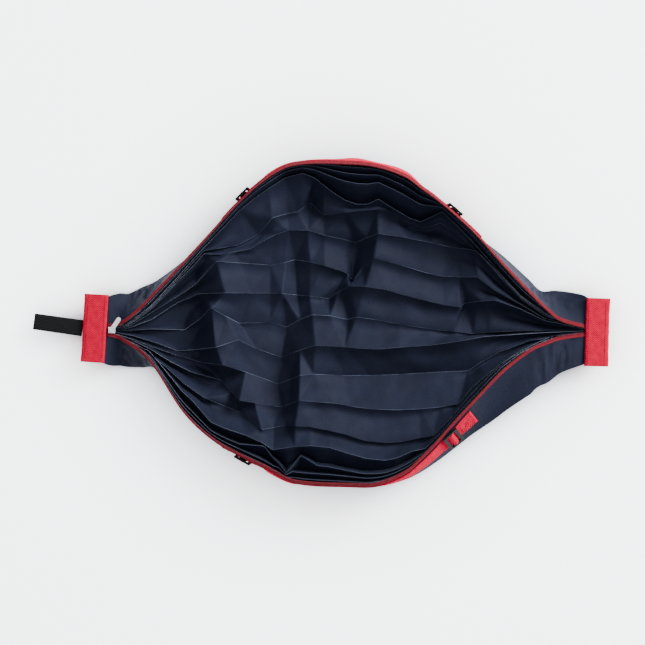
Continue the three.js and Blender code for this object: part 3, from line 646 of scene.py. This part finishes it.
def woven_webbing(name, colour, stripe, pitch, depth):
    """Herringbone polyester webbing: thick yarns in chevrons, matt, with painted light on the yarns' crowns
    and painted shade between them.

    stripe is the width of a chevron's arm, pitch the spacing of the yarns and depth how deep their grooves
    are, in metres. The yarns are drawn coarser than usual, because finer ones don't show.
    """
    material, tree, shader = new_material(name)
    flat, lengthways, across = flat_coordinates(tree)
    chevron = add_node(tree, "ShaderNodeMath", {0: across, 1: stripe}, operation="PINGPONG")
    slant = add_node(tree, "ShaderNodeMath", {0: lengthways, 1: chevron.outputs[0]}, operation="ADD")
    yarn = waves(tree, slant.outputs[0], pitch)
    mottle = add_node(tree, "ShaderNodeTexNoise", {"Vector": flat, "Scale": 1 / (6 * MM), "Detail": 3.0})
    # Colour follows the yarns: painted shade in their grooves and painted highlight on their crowns, with a
    # random mottle.
    tone = add_node(tree, "ShaderNodeMath", {0: yarn, 1: 0.3, 2: mottle.outputs[0]}, operation="MULTIPLY_ADD")
    dark = [c * 0.5 for c in linear(colour)[:3]] + [1]
    shades = {0: tone.outputs[0], 6: dark, 7: linear(colour)}
    shade = add_node(tree, "ShaderNodeMix", shades, data_type="RGBA", clamp_factor=True)
    bump = add_node(tree, "ShaderNodeBump", {"Height": yarn, "Strength": 0.5, "Distance": depth})
    tree.links.new(shade.outputs[2], shader.inputs["Base Color"])
    tree.links.new(bump.outputs[0], shader.inputs["Normal"])
    shader.inputs["Roughness"].default_value = 0.95
    shader.inputs["IOR"].default_value = 1.5
    shader.inputs["Specular IOR Level"].default_value = 0.04
    return material


def sewing_thread(name, colour):
    """Polyester, as spun sewing thread or as the zip's moulded coil: matt and a little uneven in colour."""
    material, tree, shader = new_material(name)
    where = add_node(tree, "ShaderNodeTexCoord")
    spot = where.outputs["Object"]
    fuzz = add_node(tree, "ShaderNodeTexNoise", {"Vector": spot, "Scale": 1 / (1.2 * MM)})
    dark = [c * 0.75 for c in linear(colour)[:3]] + [1]
    shades = {0: fuzz.outputs[0], 6: dark, 7: linear(colour)}
    shade = add_node(tree, "ShaderNodeMix", shades, data_type="RGBA")
    tree.links.new(shade.outputs[2], shader.inputs["Base Color"])
    shader.inputs["Roughness"].default_value = 0.75
    shader.inputs["Specular IOR Level"].default_value = 0.15
    return material


def nickel_plate():
    """Nickel-plated zinc casting: pale and satin, with a slightly uneven polish."""
    material, tree, shader = new_material("nickel_plated_zinc_cast")
    where = add_node(tree, "ShaderNodeTexCoord")
    spot = where.outputs["Object"]
    polish = add_node(tree, "ShaderNodeTexNoise", {"Vector": spot, "Scale": 1 / (2.5 * MM)})
    rough = add_node(tree, "ShaderNodeMapRange", {0: polish.outputs[0], 3: 0.38, 4: 0.52})
    tree.links.new(rough.outputs[0], shader.inputs["Roughness"])
    shader.inputs["Base Color"].default_value = linear(colours().metal)
    shader.inputs["Metallic"].default_value = 1.0
    return material


def moulded_acetal():
    """Injection-moulded acetal with a fine spark-eroded grain: black, half matt."""
    material, tree, shader = new_material("acetal_moulded_grain")
    where = add_node(tree, "ShaderNodeTexCoord")
    spot = where.outputs["Object"]
    grain = add_node(tree, "ShaderNodeTexNoise", {"Vector": spot, "Scale": 1 / (0.5 * MM)})
    relief = {"Height": grain.outputs[0], "Strength": 0.2, "Distance": 0.05 * MM}
    bump = add_node(tree, "ShaderNodeBump", relief)
    tree.links.new(bump.outputs[0], shader.inputs["Normal"])
    shader.inputs["Base Color"].default_value = linear(colours().plastic)
    shader.inputs["Roughness"].default_value = 0.6
    shader.inputs["IOR"].default_value = 1.48
    shader.inputs["Specular IOR Level"].default_value = 0.1
    return material


def mesh_object(name, verts, faces, material, uvs=None):
    """A mesh piece with smooth shading. uvs gives flat coordinates, in metres, for each face's corners."""
    mesh = bpy.data.meshes.new(name)
    mesh.from_pydata(verts, [], faces)
    mesh.polygons.foreach_set("use_smooth", [True] * len(mesh.polygons))
    if uvs:
        layer = mesh.uv_layers.new(name="flat")
        layer.data.foreach_set("uv", [c for face in uvs for uv in face for c in uv])
    mesh.materials.append(material)
    mesh.validate()
    piece = bpy.data.objects.new(name, mesh)
    bpy.context.scene.collection.objects.link(piece)
    return piece


def ride_on_bag(piece, slot, *nodes):
    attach(piece, "bag")
    if nodes:
        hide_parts(*nodes)


def grid_object(name, rows, material, flat_rows):
    """A sheet through rows of points, with flat coordinates for each point."""
    width = len(rows[0])
    faces = []
    for i in range(len(rows) - 1):
        for k in range(width - 1):
            faces.append((i * width + k, (i + 1) * width + k, (i + 1) * width + k + 1, i * width + k + 1))
    flat = [uv for row in flat_rows for uv in row]
    uvs = [[flat[v] for v in face] for face in faces]
    return mesh_object(name, [p for row in rows for p in row], faces, material, uvs)


def band_profile(width, thick):
    """Outline of flat webbing with round selvedges, as shares of its half width and half thickness."""
    upper = [(-1, 0), (-0.985, 0.7), (-0.94, 1), (-0.5, 1), (0, 1), (0.5, 1), (0.94, 1), (0.985, 0.7)]
    outline = upper + [(-a, -b) for a, b in upper]
    return [(a * width / 2, b * thick / 2) for a, b in outline]


# A point of a ribbon's path, and the ways across and out of the ribbon there
Spot = namedtuple("Spot", "place side normal")


def distances(points):
    """The way along a path to each of its points."""
    lengths = [0.0]
    for before, after in zip(points, points[1:]):
        lengths.append(lengths[-1] + (after - before).length)
    return lengths


def bead_faces(first, rings, sides):
    """Faces of a closed bead whose rings of vertices follow one another from the first vertex."""
    faces = []
    for ring in range(rings - 1):
        a, b = first + ring * sides, first + (ring + 1) * sides
        faces += [(a + k, a + (k + 1) % sides, b + (k + 1) % sides, b + k) for k in range(sides)]
    faces.append([first + k for k in reversed(range(sides))])
    faces.append([first + (rings - 1) * sides + k for k in range(sides)])
    return faces


def ribbon(name, spots, width, thick, material):
    """Webbing along a path, in metres, with flat coordinates along and across it."""
    profile = band_profile(width, thick)
    count = len(profile)
    lengths = distances([spot.place for spot in spots])
    verts = []
    for spot in spots:
        verts += [spot.place + spot.side * a + spot.normal * b for a, b in profile]
    faces = []
    uvs = []
    for i in range(len(spots) - 1):
        for k in range(count):
            n = (k + 1) % count
            corners = ((i, k), (i, n), (i + 1, n), (i + 1, k))
            faces.append([row * count + column for row, column in corners])
            uvs.append([(lengths[row], profile[column][0]) for row, column in corners])
    faces.append(list(reversed(range(count))))
    faces.append([(len(spots) - 1) * count + k for k in range(count)])
    uvs += 2 * [[(0, a) for a, _ in profile]]
    return mesh_object(name, verts, faces, material, uvs)


def stitch_row(name, path, normals, material, thick=0.45 * MM):
    """A row of sewn stitches along a path: short rounded threads that dip into the cloth at both ends."""
    pitch = sizes().stitch
    lengths = distances(path)

    def at(distance):
        i = next((k for k in range(len(path) - 1) if lengths[k + 1] >= distance), len(path) - 2)
        share = (distance - lengths[i]) / max(lengths[i + 1] - lengths[i], 1e-9)
        return path[i].lerp(path[i + 1], share), normals[i].lerp(normals[i + 1], share).normalized()

    verts = []
    faces = []
    sides = 6
    # Place along the stitch, swell and rise of each ring of vertices
    rings = ((0, 0.45, -0.5), (0.2, 0.95, 0.25), (0.5, 1, 0.4), (0.8, 0.95, 0.25), (1, 0.45, -0.5))
    for n in range(int(lengths[-1] / pitch)):
        faces += bead_faces(len(verts), len(rings), sides)
        start, end = (n + 0.1) * pitch, (n + 0.88) * pitch
        ahead = (at(end)[0] - at(start)[0]).normalized()
        for share, swell, rise in rings:
            middle, normal = at(start + (end - start) * share)
            side = normal.cross(ahead).normalized()
            for k in range(sides):
                turn = 2 * math.pi * k / sides
                offset = side * math.cos(turn) + normal * math.sin(turn)
                verts.append(middle + normal * rise * thick + offset * swell * thick / 2)
    return mesh_object(name, verts, faces, material)


def wrinkle(x, fold, step):
    """Depth of the cloth's soft wrinkles, in millimetres, on the panel after a fold."""
    swell = smooth((BAND_FACE - abs(x)) / CALM_RUN) * math.sin(math.pi * step)
    broad = noise.noise(Vector((x / BROAD.length, fold * BROAD.apart, step * BROAD.turns)))
    fine = noise.noise(Vector((x / FINE.length, fold * FINE.apart, step * FINE.turns)))
    if FLOOR_FROM <= fold < FLOOR_FROM + len(FLOOR_FOLDS) - 1:
        return swell * sizes().wrinkle / MM * (broad + FINE_SHARE * fine)
    across = x / SLANTED.length + step * SLANTED.turns
    slanted = abs(noise.noise(Vector((across, fold * SLANTED.apart, 0)))) - END_WRINKLE_LEVEL
    beyond_handles = smooth((abs(x) - END_WRINKLE_FROM) / END_WRINKLE_RUN)
    return swell * (PANEL_BROAD * broad + PANEL_FINE * fine + END_WRINKLE * beyond_handles * slanted)


class BAG_OT_cloth(bpy.types.Operator):
    """Pleated cloth from rim to rim, upright beside the zip and open on the floor"""

    bl_idname = "bag.cloth"
    bl_label = "Cloth"

    def execute(self, context):
        rows = []
        flat_rows = []
        inside = stations(-BAND_FACE, BAND_FACE, CLOTH_STEP)
        ends = [-BAND_FACE - d for d in GATHER_ROWS] + [BAND_FACE + d for d in GATHER_ROWS]
        for x in sorted(inside + ends):
            row, flat_row = self.row(x)
            rows.append(row)
            flat_rows.append(flat_row)
        cloth = grid_object("pleated_cloth", rows, polyester_cloth(), flat_rows)
        ride_on_bag(cloth, "cloth", "bag_body")
        return {"FINISHED"}

    def row(self, x):
        """The cloth at x, from rim to rim, with its flat coordinates."""
        in_bag = min(max(x, -BAND_FACE), BAND_FACE)
        line = creases(in_bag)
        lowest = max(along("keel", in_bag), 0) + LEAST_LEVEL
        squeeze, shift = 1, 0
        if x != in_bag:
            squeeze = BAND_SQUEEZE
            shift = BAND_SHIFT_LEFT if x < 0 else BAND_SHIFT_RIGHT
        row = []
        flat_row = []
        for fold, (start, after) in enumerate(zip(line, line[1:])):
            across = after - start
            normal = Vector((0, -across.z, across.y)).normalized()
            strip = fold - FLOOR_FROM
            on_floor = 0 <= strip < len(STRIPS)
            steps = FLOOR_STEPS if on_floor else PACKET_STEPS
            for step in steps:
                at = start + across * step
                if step == steps[1] and start.z > after.z:
                    at = start + Vector((0, math.copysign(CREST, across.y), -CREST_DROP))
                elif step == steps[-1] and after.z > start.z:
                    at = after + Vector((0, -math.copysign(CREST, across.y), -CREST_DROP))
                if step and on_floor:
                    at.z = facet_level(strip, in_bag, at.y) - sag(in_bag, fold, step)
                at += normal * wrinkle(in_bag, fold, step)
                row.append(place(x, at.y * squeeze + shift, max(at.z, lowest)))
                flat_row.append((x * MM, (fold + step) * PANEL * MM))
        row.append(place(x, line[-1].y * squeeze + shift, line[-1].z))
        flat_row.append((x * MM, (len(line) - 1) * PANEL * MM))
        return row, flat_row


def zip_frame(side, x):
    """The zip half at x: its seam's point and the ways in over the mouth and out of the tape, in metres."""
    rim = rim_of(side, x)
    tilt = math.radians(min(along(side + "_lean", x) + ZIP_TILT, FLAT_TILT))
    inwards = Vector((0, -rim.out * math.sin(tilt), math.cos(tilt)))
    upwards = Vector((0, rim.out * math.cos(tilt), math.sin(tilt)))
    return place(x, rim.point.x, rim.point.y), inwards, upwards


class BAG_OT_zip(bpy.types.Operator):
    """Both halves of the zip, each a woven tape with a coil along its free edge"""

    bl_idname = "bag.zip"
    bl_label = "Zip"

    def execute(self, context):
        tape = woven_webbing("polyester_zip_tape_twill", colours().zip_tape, 1.6 * MM, 0.9 * MM, 0.12 * MM)
        coil = sewing_thread("polyester_zip_coil_moulded", colours().zip_tape)
        for side in ("front", "back"):
            spots = []
            edge = []
            for x in stations(ZIP_END_GAP - BAND_FACE, BAND_FACE - ZIP_END_GAP, ZIP_STEP):
                seam, inwards, upwards = zip_frame(side, x)
                middle = seam + inwards * (ZIP_TAPE_WIDTH / 2 + ZIP_SEAM) * MM
                edge.append((seam + inwards * ZIP_COIL_PLACE * MM, inwards, upwards))
                spots.append(Spot(middle, inwards, upwards))
            name = "zip_tape_" + side + "_woven"
            strip = ribbon(name, spots, ZIP_TAPE_WIDTH * MM, ZIP_TAPE_THICK * MM, tape)
            ride_on_bag(strip, "zip", "zip_tape_" + side)
            teeth = self.coil("zip_coil_" + side, edge, coil)
            ride_on_bag(teeth, "zip")
        return {"FINISHED"}

    def coil(self, name, edge, material):
        """The turns of the coil as small rounded beads across the tape's edge."""
        verts = []
        faces = []
        pitch = ZIP_COIL_PITCH * MM
        travelled = 0.0
        due = 0.0
        rings = ((-1, 0.35), (-0.7, 0.85), (0, 1), (0.7, 0.85), (1, 0.35))  # place across the tape and swell
        sides = 6
        for (start, inwards, upwards), (end, *_) in zip(edge, edge[1:]):
            length = (end - start).length
            run = (end - start).normalized()
            while due <= travelled + length:
                middle = start + run * (due - travelled)
                faces += bead_faces(len(verts), len(rings), sides)
                for reach, swell in rings:
                    for k in range(sides):
                        turn = 2 * math.pi * k / sides
                        offset = run * math.cos(turn) * COIL_HALF_WIDTH
                        offset += upwards * math.sin(turn) * COIL_HALF_HEIGHT
                        verts.append(middle + (inwards * reach * COIL_HALF_LENGTH + offset * swell) * MM)
                due += pitch
            travelled += length
        return mesh_object(name, verts, faces, material)


def band_matrix(sign):
    """Places a band's own frame, which runs outwards from its inner edge, in the bag's frame."""
    skew, shift = (SKEW_LEFT, BAND_SHIFT_LEFT) if sign < 0 else (SKEW_RIGHT, BAND_SHIFT_RIGHT)
    turn = (math.pi if sign < 0 else 0) - math.atan(skew)
    middle = Vector((sign * BAND_FACE, shift - MOUTH_MIDDLE, 0)) * MM
    return Matrix.Translation(middle) @ Matrix.Rotation(turn, 4, "Z")


class BAG_OT_bands(bpy.types.Operator):
    """Webbing folded over both gathered ends, with its seams"""

    bl_idname = "bag.bands"
    bl_label = "End bands"

    def execute(self, context):
        webbing = woven_webbing(
            "polyester_webbing_band_herringbone", colours().webbing, 3.1 * MM, 2.2 * MM, 0.3 * MM
        )
        thread = sewing_thread("polyester_thread_band", colours().thread)
        for name, sign in (("end_band_left", -1), ("end_band_right", 1)):
            low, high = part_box(name)
            self.band(name, sign, low.z, high.z, webbing)
            self.seams(name, sign, high.z, thread)
        return {"FINISHED"}

    def outline(self, bottom, top):
        """The folded webbing seen from its end: up over the outside and back along the inside, in metres."""
        width = BAND_WIDTH * MM
        thick = WEBBING * MM
        radius = BAND_FOLD * MM
        outer = [(width * s, bottom) for s in (0, 0.12, 0.35, 0.6, 0.8)]
        outer += [
            (width - radius + radius * math.sin(a), bottom + radius - radius * math.cos(a))
            for a in (0.2, 0.6, 1.0, 1.4)
        ]
        outer += [(p, top + bottom - z) for p, z in reversed(outer)]
        inner = [(0, top - thick), (width - 2 * thick, top - thick)]
        inner += [(width - 2 * thick, bottom + thick), (0, bottom + thick)]
        return outer + inner

    def band(self, name, sign, bottom, top, material):
        """The folded webbing, rounded at its cut ends and pressed together towards them."""
        matrix = band_matrix(sign)
        outline = self.outline(bottom, top)
        count = len(outline)
        around = [0.0]
        for (out0, z0), (out1, z1) in zip(outline, outline[1:] + outline[:1]):
            around.append(around[-1] + math.hypot(out1 - out0, z1 - z0))
        half = BAND_LENGTH * MM / 2
        verts = []
        steps = [-1, -0.992, -0.975] + stations(-0.94, 0.94, 0.06) + [0.975, 0.992, 1]
        middle = (top + bottom) / 2
        for step in steps:
            droop = BAND_DROOP * MM if abs(step) == 1 else 0.0
            pressed = BAND_PRESS * smooth((abs(step) - BAND_PRESS_FROM) / BAND_PRESS_RUN)
            for out, level in outline:
                z = level + (top - level) * pressed
                apart = sign * RIPPLE_BANDS_APART + z * RIPPLE_LAYERS_APART
                where = Vector((out / (BAND_RIPPLE_LENGTH * MM), step * BAND_RIPPLE_TURNS, apart))
                ripple = BAND_RIPPLE * MM * noise.noise(where)
                z_soft = z - math.copysign(droop, level - middle) + ripple
                verts.append(matrix @ Vector((out + ripple * BAND_RIPPLE_OUT, step * half, z_soft)))
        faces = []
        uvs = []
        for i in range(len(steps) - 1):
            for k in range(count):
                n = (k + 1) % count
                faces.append((i * count + k, (i + 1) * count + k, (i + 1) * count + n, i * count + n))
                corners = ((i, k), (i + 1, k), (i + 1, k + 1), (i, k + 1))
                uvs.append([(steps[row] * half, around[column]) for row, column in corners])
        for row in (0, len(steps) - 1):
            face = [row * count + k for k in range(count)]
            faces.append(face if row == 0 else face[::-1])
            uvs.append([(0, outline[k][0]) for k in range(count)])
        piece = mesh_object(name + "_webbing", verts, faces, material, uvs)
        ride_on_bag(piece, "webbing", name)

    def seams(self, name, sign, top, material):
        """Two rows of stitches along the band, beside its edges."""
        matrix = band_matrix(sign)
        up = Vector((0, 0, 1))
        for row, out in BAND_SEAMS.items():
            path = [
                matrix @ Vector((out * MM, s * BAND_LENGTH * MM / 2, top + STITCH_LIFT * MM))
                for s in stations(-0.95, 0.95, 0.1)
            ]
            piece = stitch_row(name + "_seam_" + row, path, [up] * len(path), material)
            ride_on_bag(piece, "webbing")


class BAG_OT_closing_loop(bpy.types.Operator):
    """Elastic doubled back as a flat loop, out of the left band"""

    bl_idname = "bag.closing_loop"
    bl_label = "Closing loop"

    def execute(self, context):
        offset = (LOOP_GAP + LOOP_THICK) / 2
        turn_at = LOOP_LENGTH - offset - LOOP_THICK / 2
        straight = stations(0, turn_at, LOOP_STEP)
        path = [(s, offset) for s in straight]
        path += [
            (turn_at + offset * math.sin(a), offset * math.cos(a)) for a in stations(0.3, math.pi - 0.3, 0.4)
        ]
        path += [(s, -offset) for s in reversed(straight)]
        low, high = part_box("end_band_left")
        level = (low.z + high.z) / 2
        turned = math.radians(LOOP_TURN)
        corner = LOOP_WIDTH / 2 * abs(math.sin(turned))
        start = Matrix.Translation(((BAND_WIDTH + LOOP_SEAT + corner) * MM, LOOP_SHIFT * MM, level))
        droop = Matrix.Rotation(math.radians(LOOP_DROOP), 4, "Y")
        matrix = band_matrix(-1) @ start @ Matrix.Rotation(turned, 4, "Z") @ droop
        turn = matrix.to_3x3()
        side = Vector((0, 1, 0))
        spots = []
        for i, (out, rise) in enumerate(path):
            before, after = path[max(i - 1, 0)], path[min(i + 1, len(path) - 1)]
            run = Vector((after[0] - before[0], 0, after[1] - before[1])).normalized()
            middle = matrix @ Vector((out * MM, 0, rise * MM))
            spots.append(Spot(middle, turn @ side, turn @ run.cross(side) * -1))
        piece = ribbon("closing_loop_elastic", spots, LOOP_WIDTH * MM, LOOP_THICK * MM, self.elastic())
        ride_on_bag(piece, "elastic", "closing_loop")
        return {"FINISHED"}

    def elastic(self):
        """Woven elastic: lengthwise ribs between the rubber cores, matt black."""
        material, tree, shader = new_material("elastic_woven_ribbed")
        _, lengthways, across = flat_coordinates(tree)
        ribs = waves(tree, across, 1.5 * MM)
        picks = waves(tree, lengthways, 1.1 * MM)
        height = add_node(tree, "ShaderNodeMath", {0: picks, 1: 0.3, 2: ribs}, operation="MULTIPLY_ADD")
        relief = {"Height": height.outputs[0], "Strength": 0.6, "Distance": 0.2 * MM}
        bump = add_node(tree, "ShaderNodeBump", relief)
        # Darker between the ribs: painted shade in their grooves.
        fade = add_node(tree, "ShaderNodeMapRange", {0: ribs, 1: -1.0, 2: 1.0})
        shades = {0: fade.outputs[0], 6: linear("#08090A"), 7: linear(colours().elastic)}
        shade = add_node(tree, "ShaderNodeMix", shades, data_type="RGBA")
        tree.links.new(shade.outputs[2], shader.inputs["Base Color"])
        tree.links.new(bump.outputs[0], shader.inputs["Normal"])
        shader.inputs["Roughness"].default_value = 0.85
        shader.inputs["Specular IOR Level"].default_value = 0.2
        return material


def panel_middle(side, x):
    """The line along the first panel that the handle follows at x: its way down the panel and its place."""
    rim = rim_of(side, x)
    across = (panel_foot(rim, x) - rim.point).normalized()
    middle = rim.point + across * HANDLE_DROP * rim.stretch
    return across, place(x, middle.x, middle.y)


def panel_frame(side, x):
    """The outside of the first panel at x: place, way along and way out, in metres."""
    across, middle = panel_middle(side, x)
    run = (panel_middle(side, x + RUN_STEP)[1] - panel_middle(side, x - RUN_STEP)[1]).normalized()
    normal = Vector((0, across.x, across.y)).cross(run).normalized()
    if (normal.y > 0) == (side == "front"):
        normal.negate()
    return middle, run, normal


def handle_spot(side, x):
    """The handle at x: on its sewn ends, woven through the buckles, and free between them."""
    handle = HANDLES[side]
    middle, run, normal = panel_frame(side, x)
    stand_off = between(BULGES[side], x, eased=True)
    offset = SEWN_OFFSET + stand_off / 2
    for centre in (handle.buckle_left, handle.buckle_right):
        buckle_place, buckle_run, buckle_normal = panel_frame(side, centre)
        way = (x - centre) / buckle_run.x
        straight = smooth((BUCKLE_LENGTH - abs(way)) / BUCKLE_EASE)
        middle = middle.lerp(buckle_place + buckle_run * way * MM, straight)
        run = run.lerp(buckle_run, straight).normalized()
        normal = normal.lerp(buckle_normal, straight).normalized()
        over = smooth((BUCKLE_SLOT - abs(way)) / (BUCKLE_SLOT - BUCKLE_CREST))
        offset += (OVER_BAR - SEWN_OFFSET) * over
    across = normal.cross(run)
    tilt = math.copysign(math.asin(stand_off / HANDLE_WIDTH), across.z)
    tilted = across * math.cos(tilt) - normal * math.sin(tilt)
    return Spot(middle + normal * offset * MM, tilted, run.cross(tilted))


class BAG_OT_handles(bpy.types.Operator):
    """Webbing handles along the outside of the mouth, sewn down at their ends and run through the buckles"""

    bl_idname = "bag.handles"
    bl_label = "Handles"

    def execute(self, context):
        webbing = woven_webbing(
            "polyester_webbing_handle_herringbone", colours().webbing, 2.5 * MM, 2.0 * MM, 0.25 * MM
        )
        thread = sewing_thread("polyester_thread_handle", colours().thread)
        for side, handle in HANDLES.items():
            places = stations(handle.patch_left, handle.patch_right, HANDLE_STEP)
            spots = [handle_spot(side, x) for x in places]
            piece = ribbon("handle_" + side + "_webbing", spots, HANDLE_WIDTH * MM, WEBBING * MM, webbing)
            ride_on_bag(piece, "webbing", "handle_" + side)
            self.box_stitch(side, "left", handle.patch_left, handle.buckle_left, thread)
            self.box_stitch(side, "right", handle.patch_right, handle.buckle_right, thread)
        return {"FINISHED"}

    def box_stitch(self, side, end, patch, buckle, material):
        """The sewn end's box of stitches with a cross in it."""
        toward = 1 if buckle > patch else -1
        start = patch + BOX_MARGIN * toward
        stop = buckle - (BUCKLE_LENGTH / 2 + BOX_BUCKLE_GAP) * toward
        half = HANDLE_WIDTH / 2 - BOX_MARGIN
        lift = WEBBING / 2 + STITCH_LIFT

        def at(share, across):
            spot = handle_spot(side, start + (stop - start) * share)
            return spot.place + (spot.side * across * half + spot.normal * lift) * MM, spot.normal

        corners = ((0, -1), (1, -1), (1, 1), (0, 1), (0, -1), (1, 1), (1, -1), (0, 1))
        path = []
        for (s0, a0), (s1, a1) in zip(corners, corners[1:]):
            shares = [part / BOX_PARTS for part in range(BOX_PARTS)]
            path += [at(s0 + (s1 - s0) * share, a0 + (a1 - a0) * share) for share in shares]
        name = "handle_" + side + "_" + end + "_stitches"
        piece = stitch_row(name, [p for p, _ in path], [n for _, n in path], material)
        ride_on_bag(piece, "webbing")


class BAG_OT_fittings(bpy.types.Operator):
    """Finish of the zip slider, its pull and the strap adjusters, with their moulded edges"""

    bl_idname = "bag.fittings"
    bl_label = "Fittings"

    def execute(self, context):
        finishes = {"buckle": moulded_acetal(), "zip_slider": nickel_plate()}
        finishes["zip_pull"] = finishes["zip_slider"]
        for name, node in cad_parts.items():
            for kind, material in finishes.items():
                if name.startswith(kind):
                    self.finish(node, material, FITTING_EDGES[kind] * MM)
        return {"FINISHED"}

    def finish(self, node, material, edge):
        """Gives a solid its material and rounded edges."""
        node.data.materials.clear()
        node.data.materials.append(material)
        bevel = node.modifiers.new("rounded_edges", "BEVEL")
        bevel.width = edge
        bevel.segments = 3
        bevel.limit_method = "ANGLE"
        bevel.harden_normals = True


class BAG_OT_stage(bpy.types.Operator):
    """Pale table, soft studio light and the camera straight above"""

    bl_idname = "bag.stage"
    bl_label = "Stage"

    def execute(self, context):
        self.table()
        self.lights(context.scene)
        self.camera(context.scene)
        return {"FINISHED"}

    def table(self):
        """A wide sheet of sanded opal acrylic. Its pale glow fades in a painted shadow on the side of the bag
        away from the key.
        """
        material, tree, shader = new_material("opal_acrylic_sanded")
        where = add_node(tree, "ShaderNodeTexCoord")
        cloud = add_node(tree, "ShaderNodeTexNoise", {"Vector": where.outputs["Object"], "Scale": 3.0})
        pale = linear(colours().table)
        shades = {0: cloud.outputs[0], 6: pale, 7: [c * 0.985 for c in pale[:3]] + [1]}
        shade = add_node(tree, "ShaderNodeMix", shades, data_type="RGBA")
        tree.links.new(shade.outputs[2], shader.inputs["Base Color"])
        shader.inputs["Roughness"].default_value = 0.9
        shader.inputs["Specular IOR Level"].default_value = 0.1
        shader.inputs["Emission Color"].default_value = pale
        # Painted shadow: occlusion looked for towards the key dims the table's glow beside the bag.
        around = {"Distance": SHADE_REACH, "Normal": Vector(KEY.place).normalized()}
        open_sky = add_node(tree, "ShaderNodeAmbientOcclusion", around)
        fade = {0: open_sky.outputs["AO"], 1: SHADE_FULL, 2: 1.0, 3: 0.0, 4: TABLE_GLOW}
        glow = add_node(tree, "ShaderNodeMapRange", fade)
        tree.links.new(glow.outputs[0], shader.inputs["Emission Strength"])
        corners = [(TABLE_HALF * x, TABLE_HALF * y, 0) for x, y in ((-1, -1), (1, -1), (1, 1), (-1, 1))]
        mesh_object("table", corners, [(0, 1, 2, 3)], material)

    def lights(self, scene):
        """A soft key from behind on the right, a weaker light overhead and an even pale surround."""
        world = bpy.data.worlds.new("studio")
        scene.world = world
        world.use_nodes = True
        background = world.node_tree.nodes["Background"]
        background.inputs[0].default_value = linear("#F4F7FC")
        background.inputs[1].default_value = WORLD_STRENGTH
        for lamp in (KEY, OVERHEAD):
            data = bpy.data.lights.new(lamp.name, "AREA")
            data.size = lamp.size
            data.energy = lamp.power
            light = bpy.data.objects.new(lamp.name, data)
            light.location = lamp.place
            light.rotation_euler = (-Vector(lamp.place)).to_track_quat("-Z", "Y").to_euler()
            scene.collection.objects.link(light)

    def camera(self, scene):
        """Straight above, with the photo's frame at the bands' level."""
        data = bpy.data.cameras.new("camera")
        data.sensor_fit = "HORIZONTAL"
        data.sensor_width = SENSOR
        data.lens = SENSOR * (sizes().camera_height - BAND_LEVEL) / (PHOTO_SIDE * PIXEL)
        camera = bpy.data.objects.new("camera", data)
        middle = Vector((CAMERA_X, CAMERA_Y - MOUTH_MIDDLE, 0)) * MM
        camera.location = middle + Vector((0, 0, sizes().camera_height))
        scene.collection.objects.link(camera)
        scene.camera = camera


class BAG_PT_pieces(bpy.types.Panel):
    """Lists the bag's pieces"""

    bl_idname = "BAG_PT_pieces"
    bl_label = "Shopping bag"
    bl_space_type = "VIEW_3D"
    bl_region_type = "UI"
    bl_category = "Bag"

    def draw(self, context):
        for operator in OPERATORS:
            self.layout.operator(operator.bl_idname)
        for group in (context.scene.bag_sizes, context.scene.bag_colours):
            for name in group.__annotations__:
                self.layout.prop(group, name)


OPERATORS = (
    BAG_OT_cloth,
    BAG_OT_zip,
    BAG_OT_bands,
    BAG_OT_closing_loop,
    BAG_OT_handles,
    BAG_OT_fittings,
    BAG_OT_stage,
)
CLASSES = (BagSizes, BagColours, *OPERATORS, BAG_PT_pieces)


def register():
    for cls in CLASSES:
        bpy.utils.register_class(cls)
    bpy.types.Scene.bag_sizes = PointerProperty(type=BagSizes)
    bpy.types.Scene.bag_colours = PointerProperty(type=BagColours)


def unregister():
    del bpy.types.Scene.bag_colours
    del bpy.types.Scene.bag_sizes
    for cls in reversed(CLASSES):
        bpy.utils.unregister_class(cls)


def main():
    register()
    bpy.ops.bag.cloth()
    bpy.ops.bag.zip()
    bpy.ops.bag.bands()
    bpy.ops.bag.closing_loop()
    bpy.ops.bag.handles()
    bpy.ops.bag.fittings()
    bpy.ops.bag.stage()


if __name__ == "__main__":
    main()
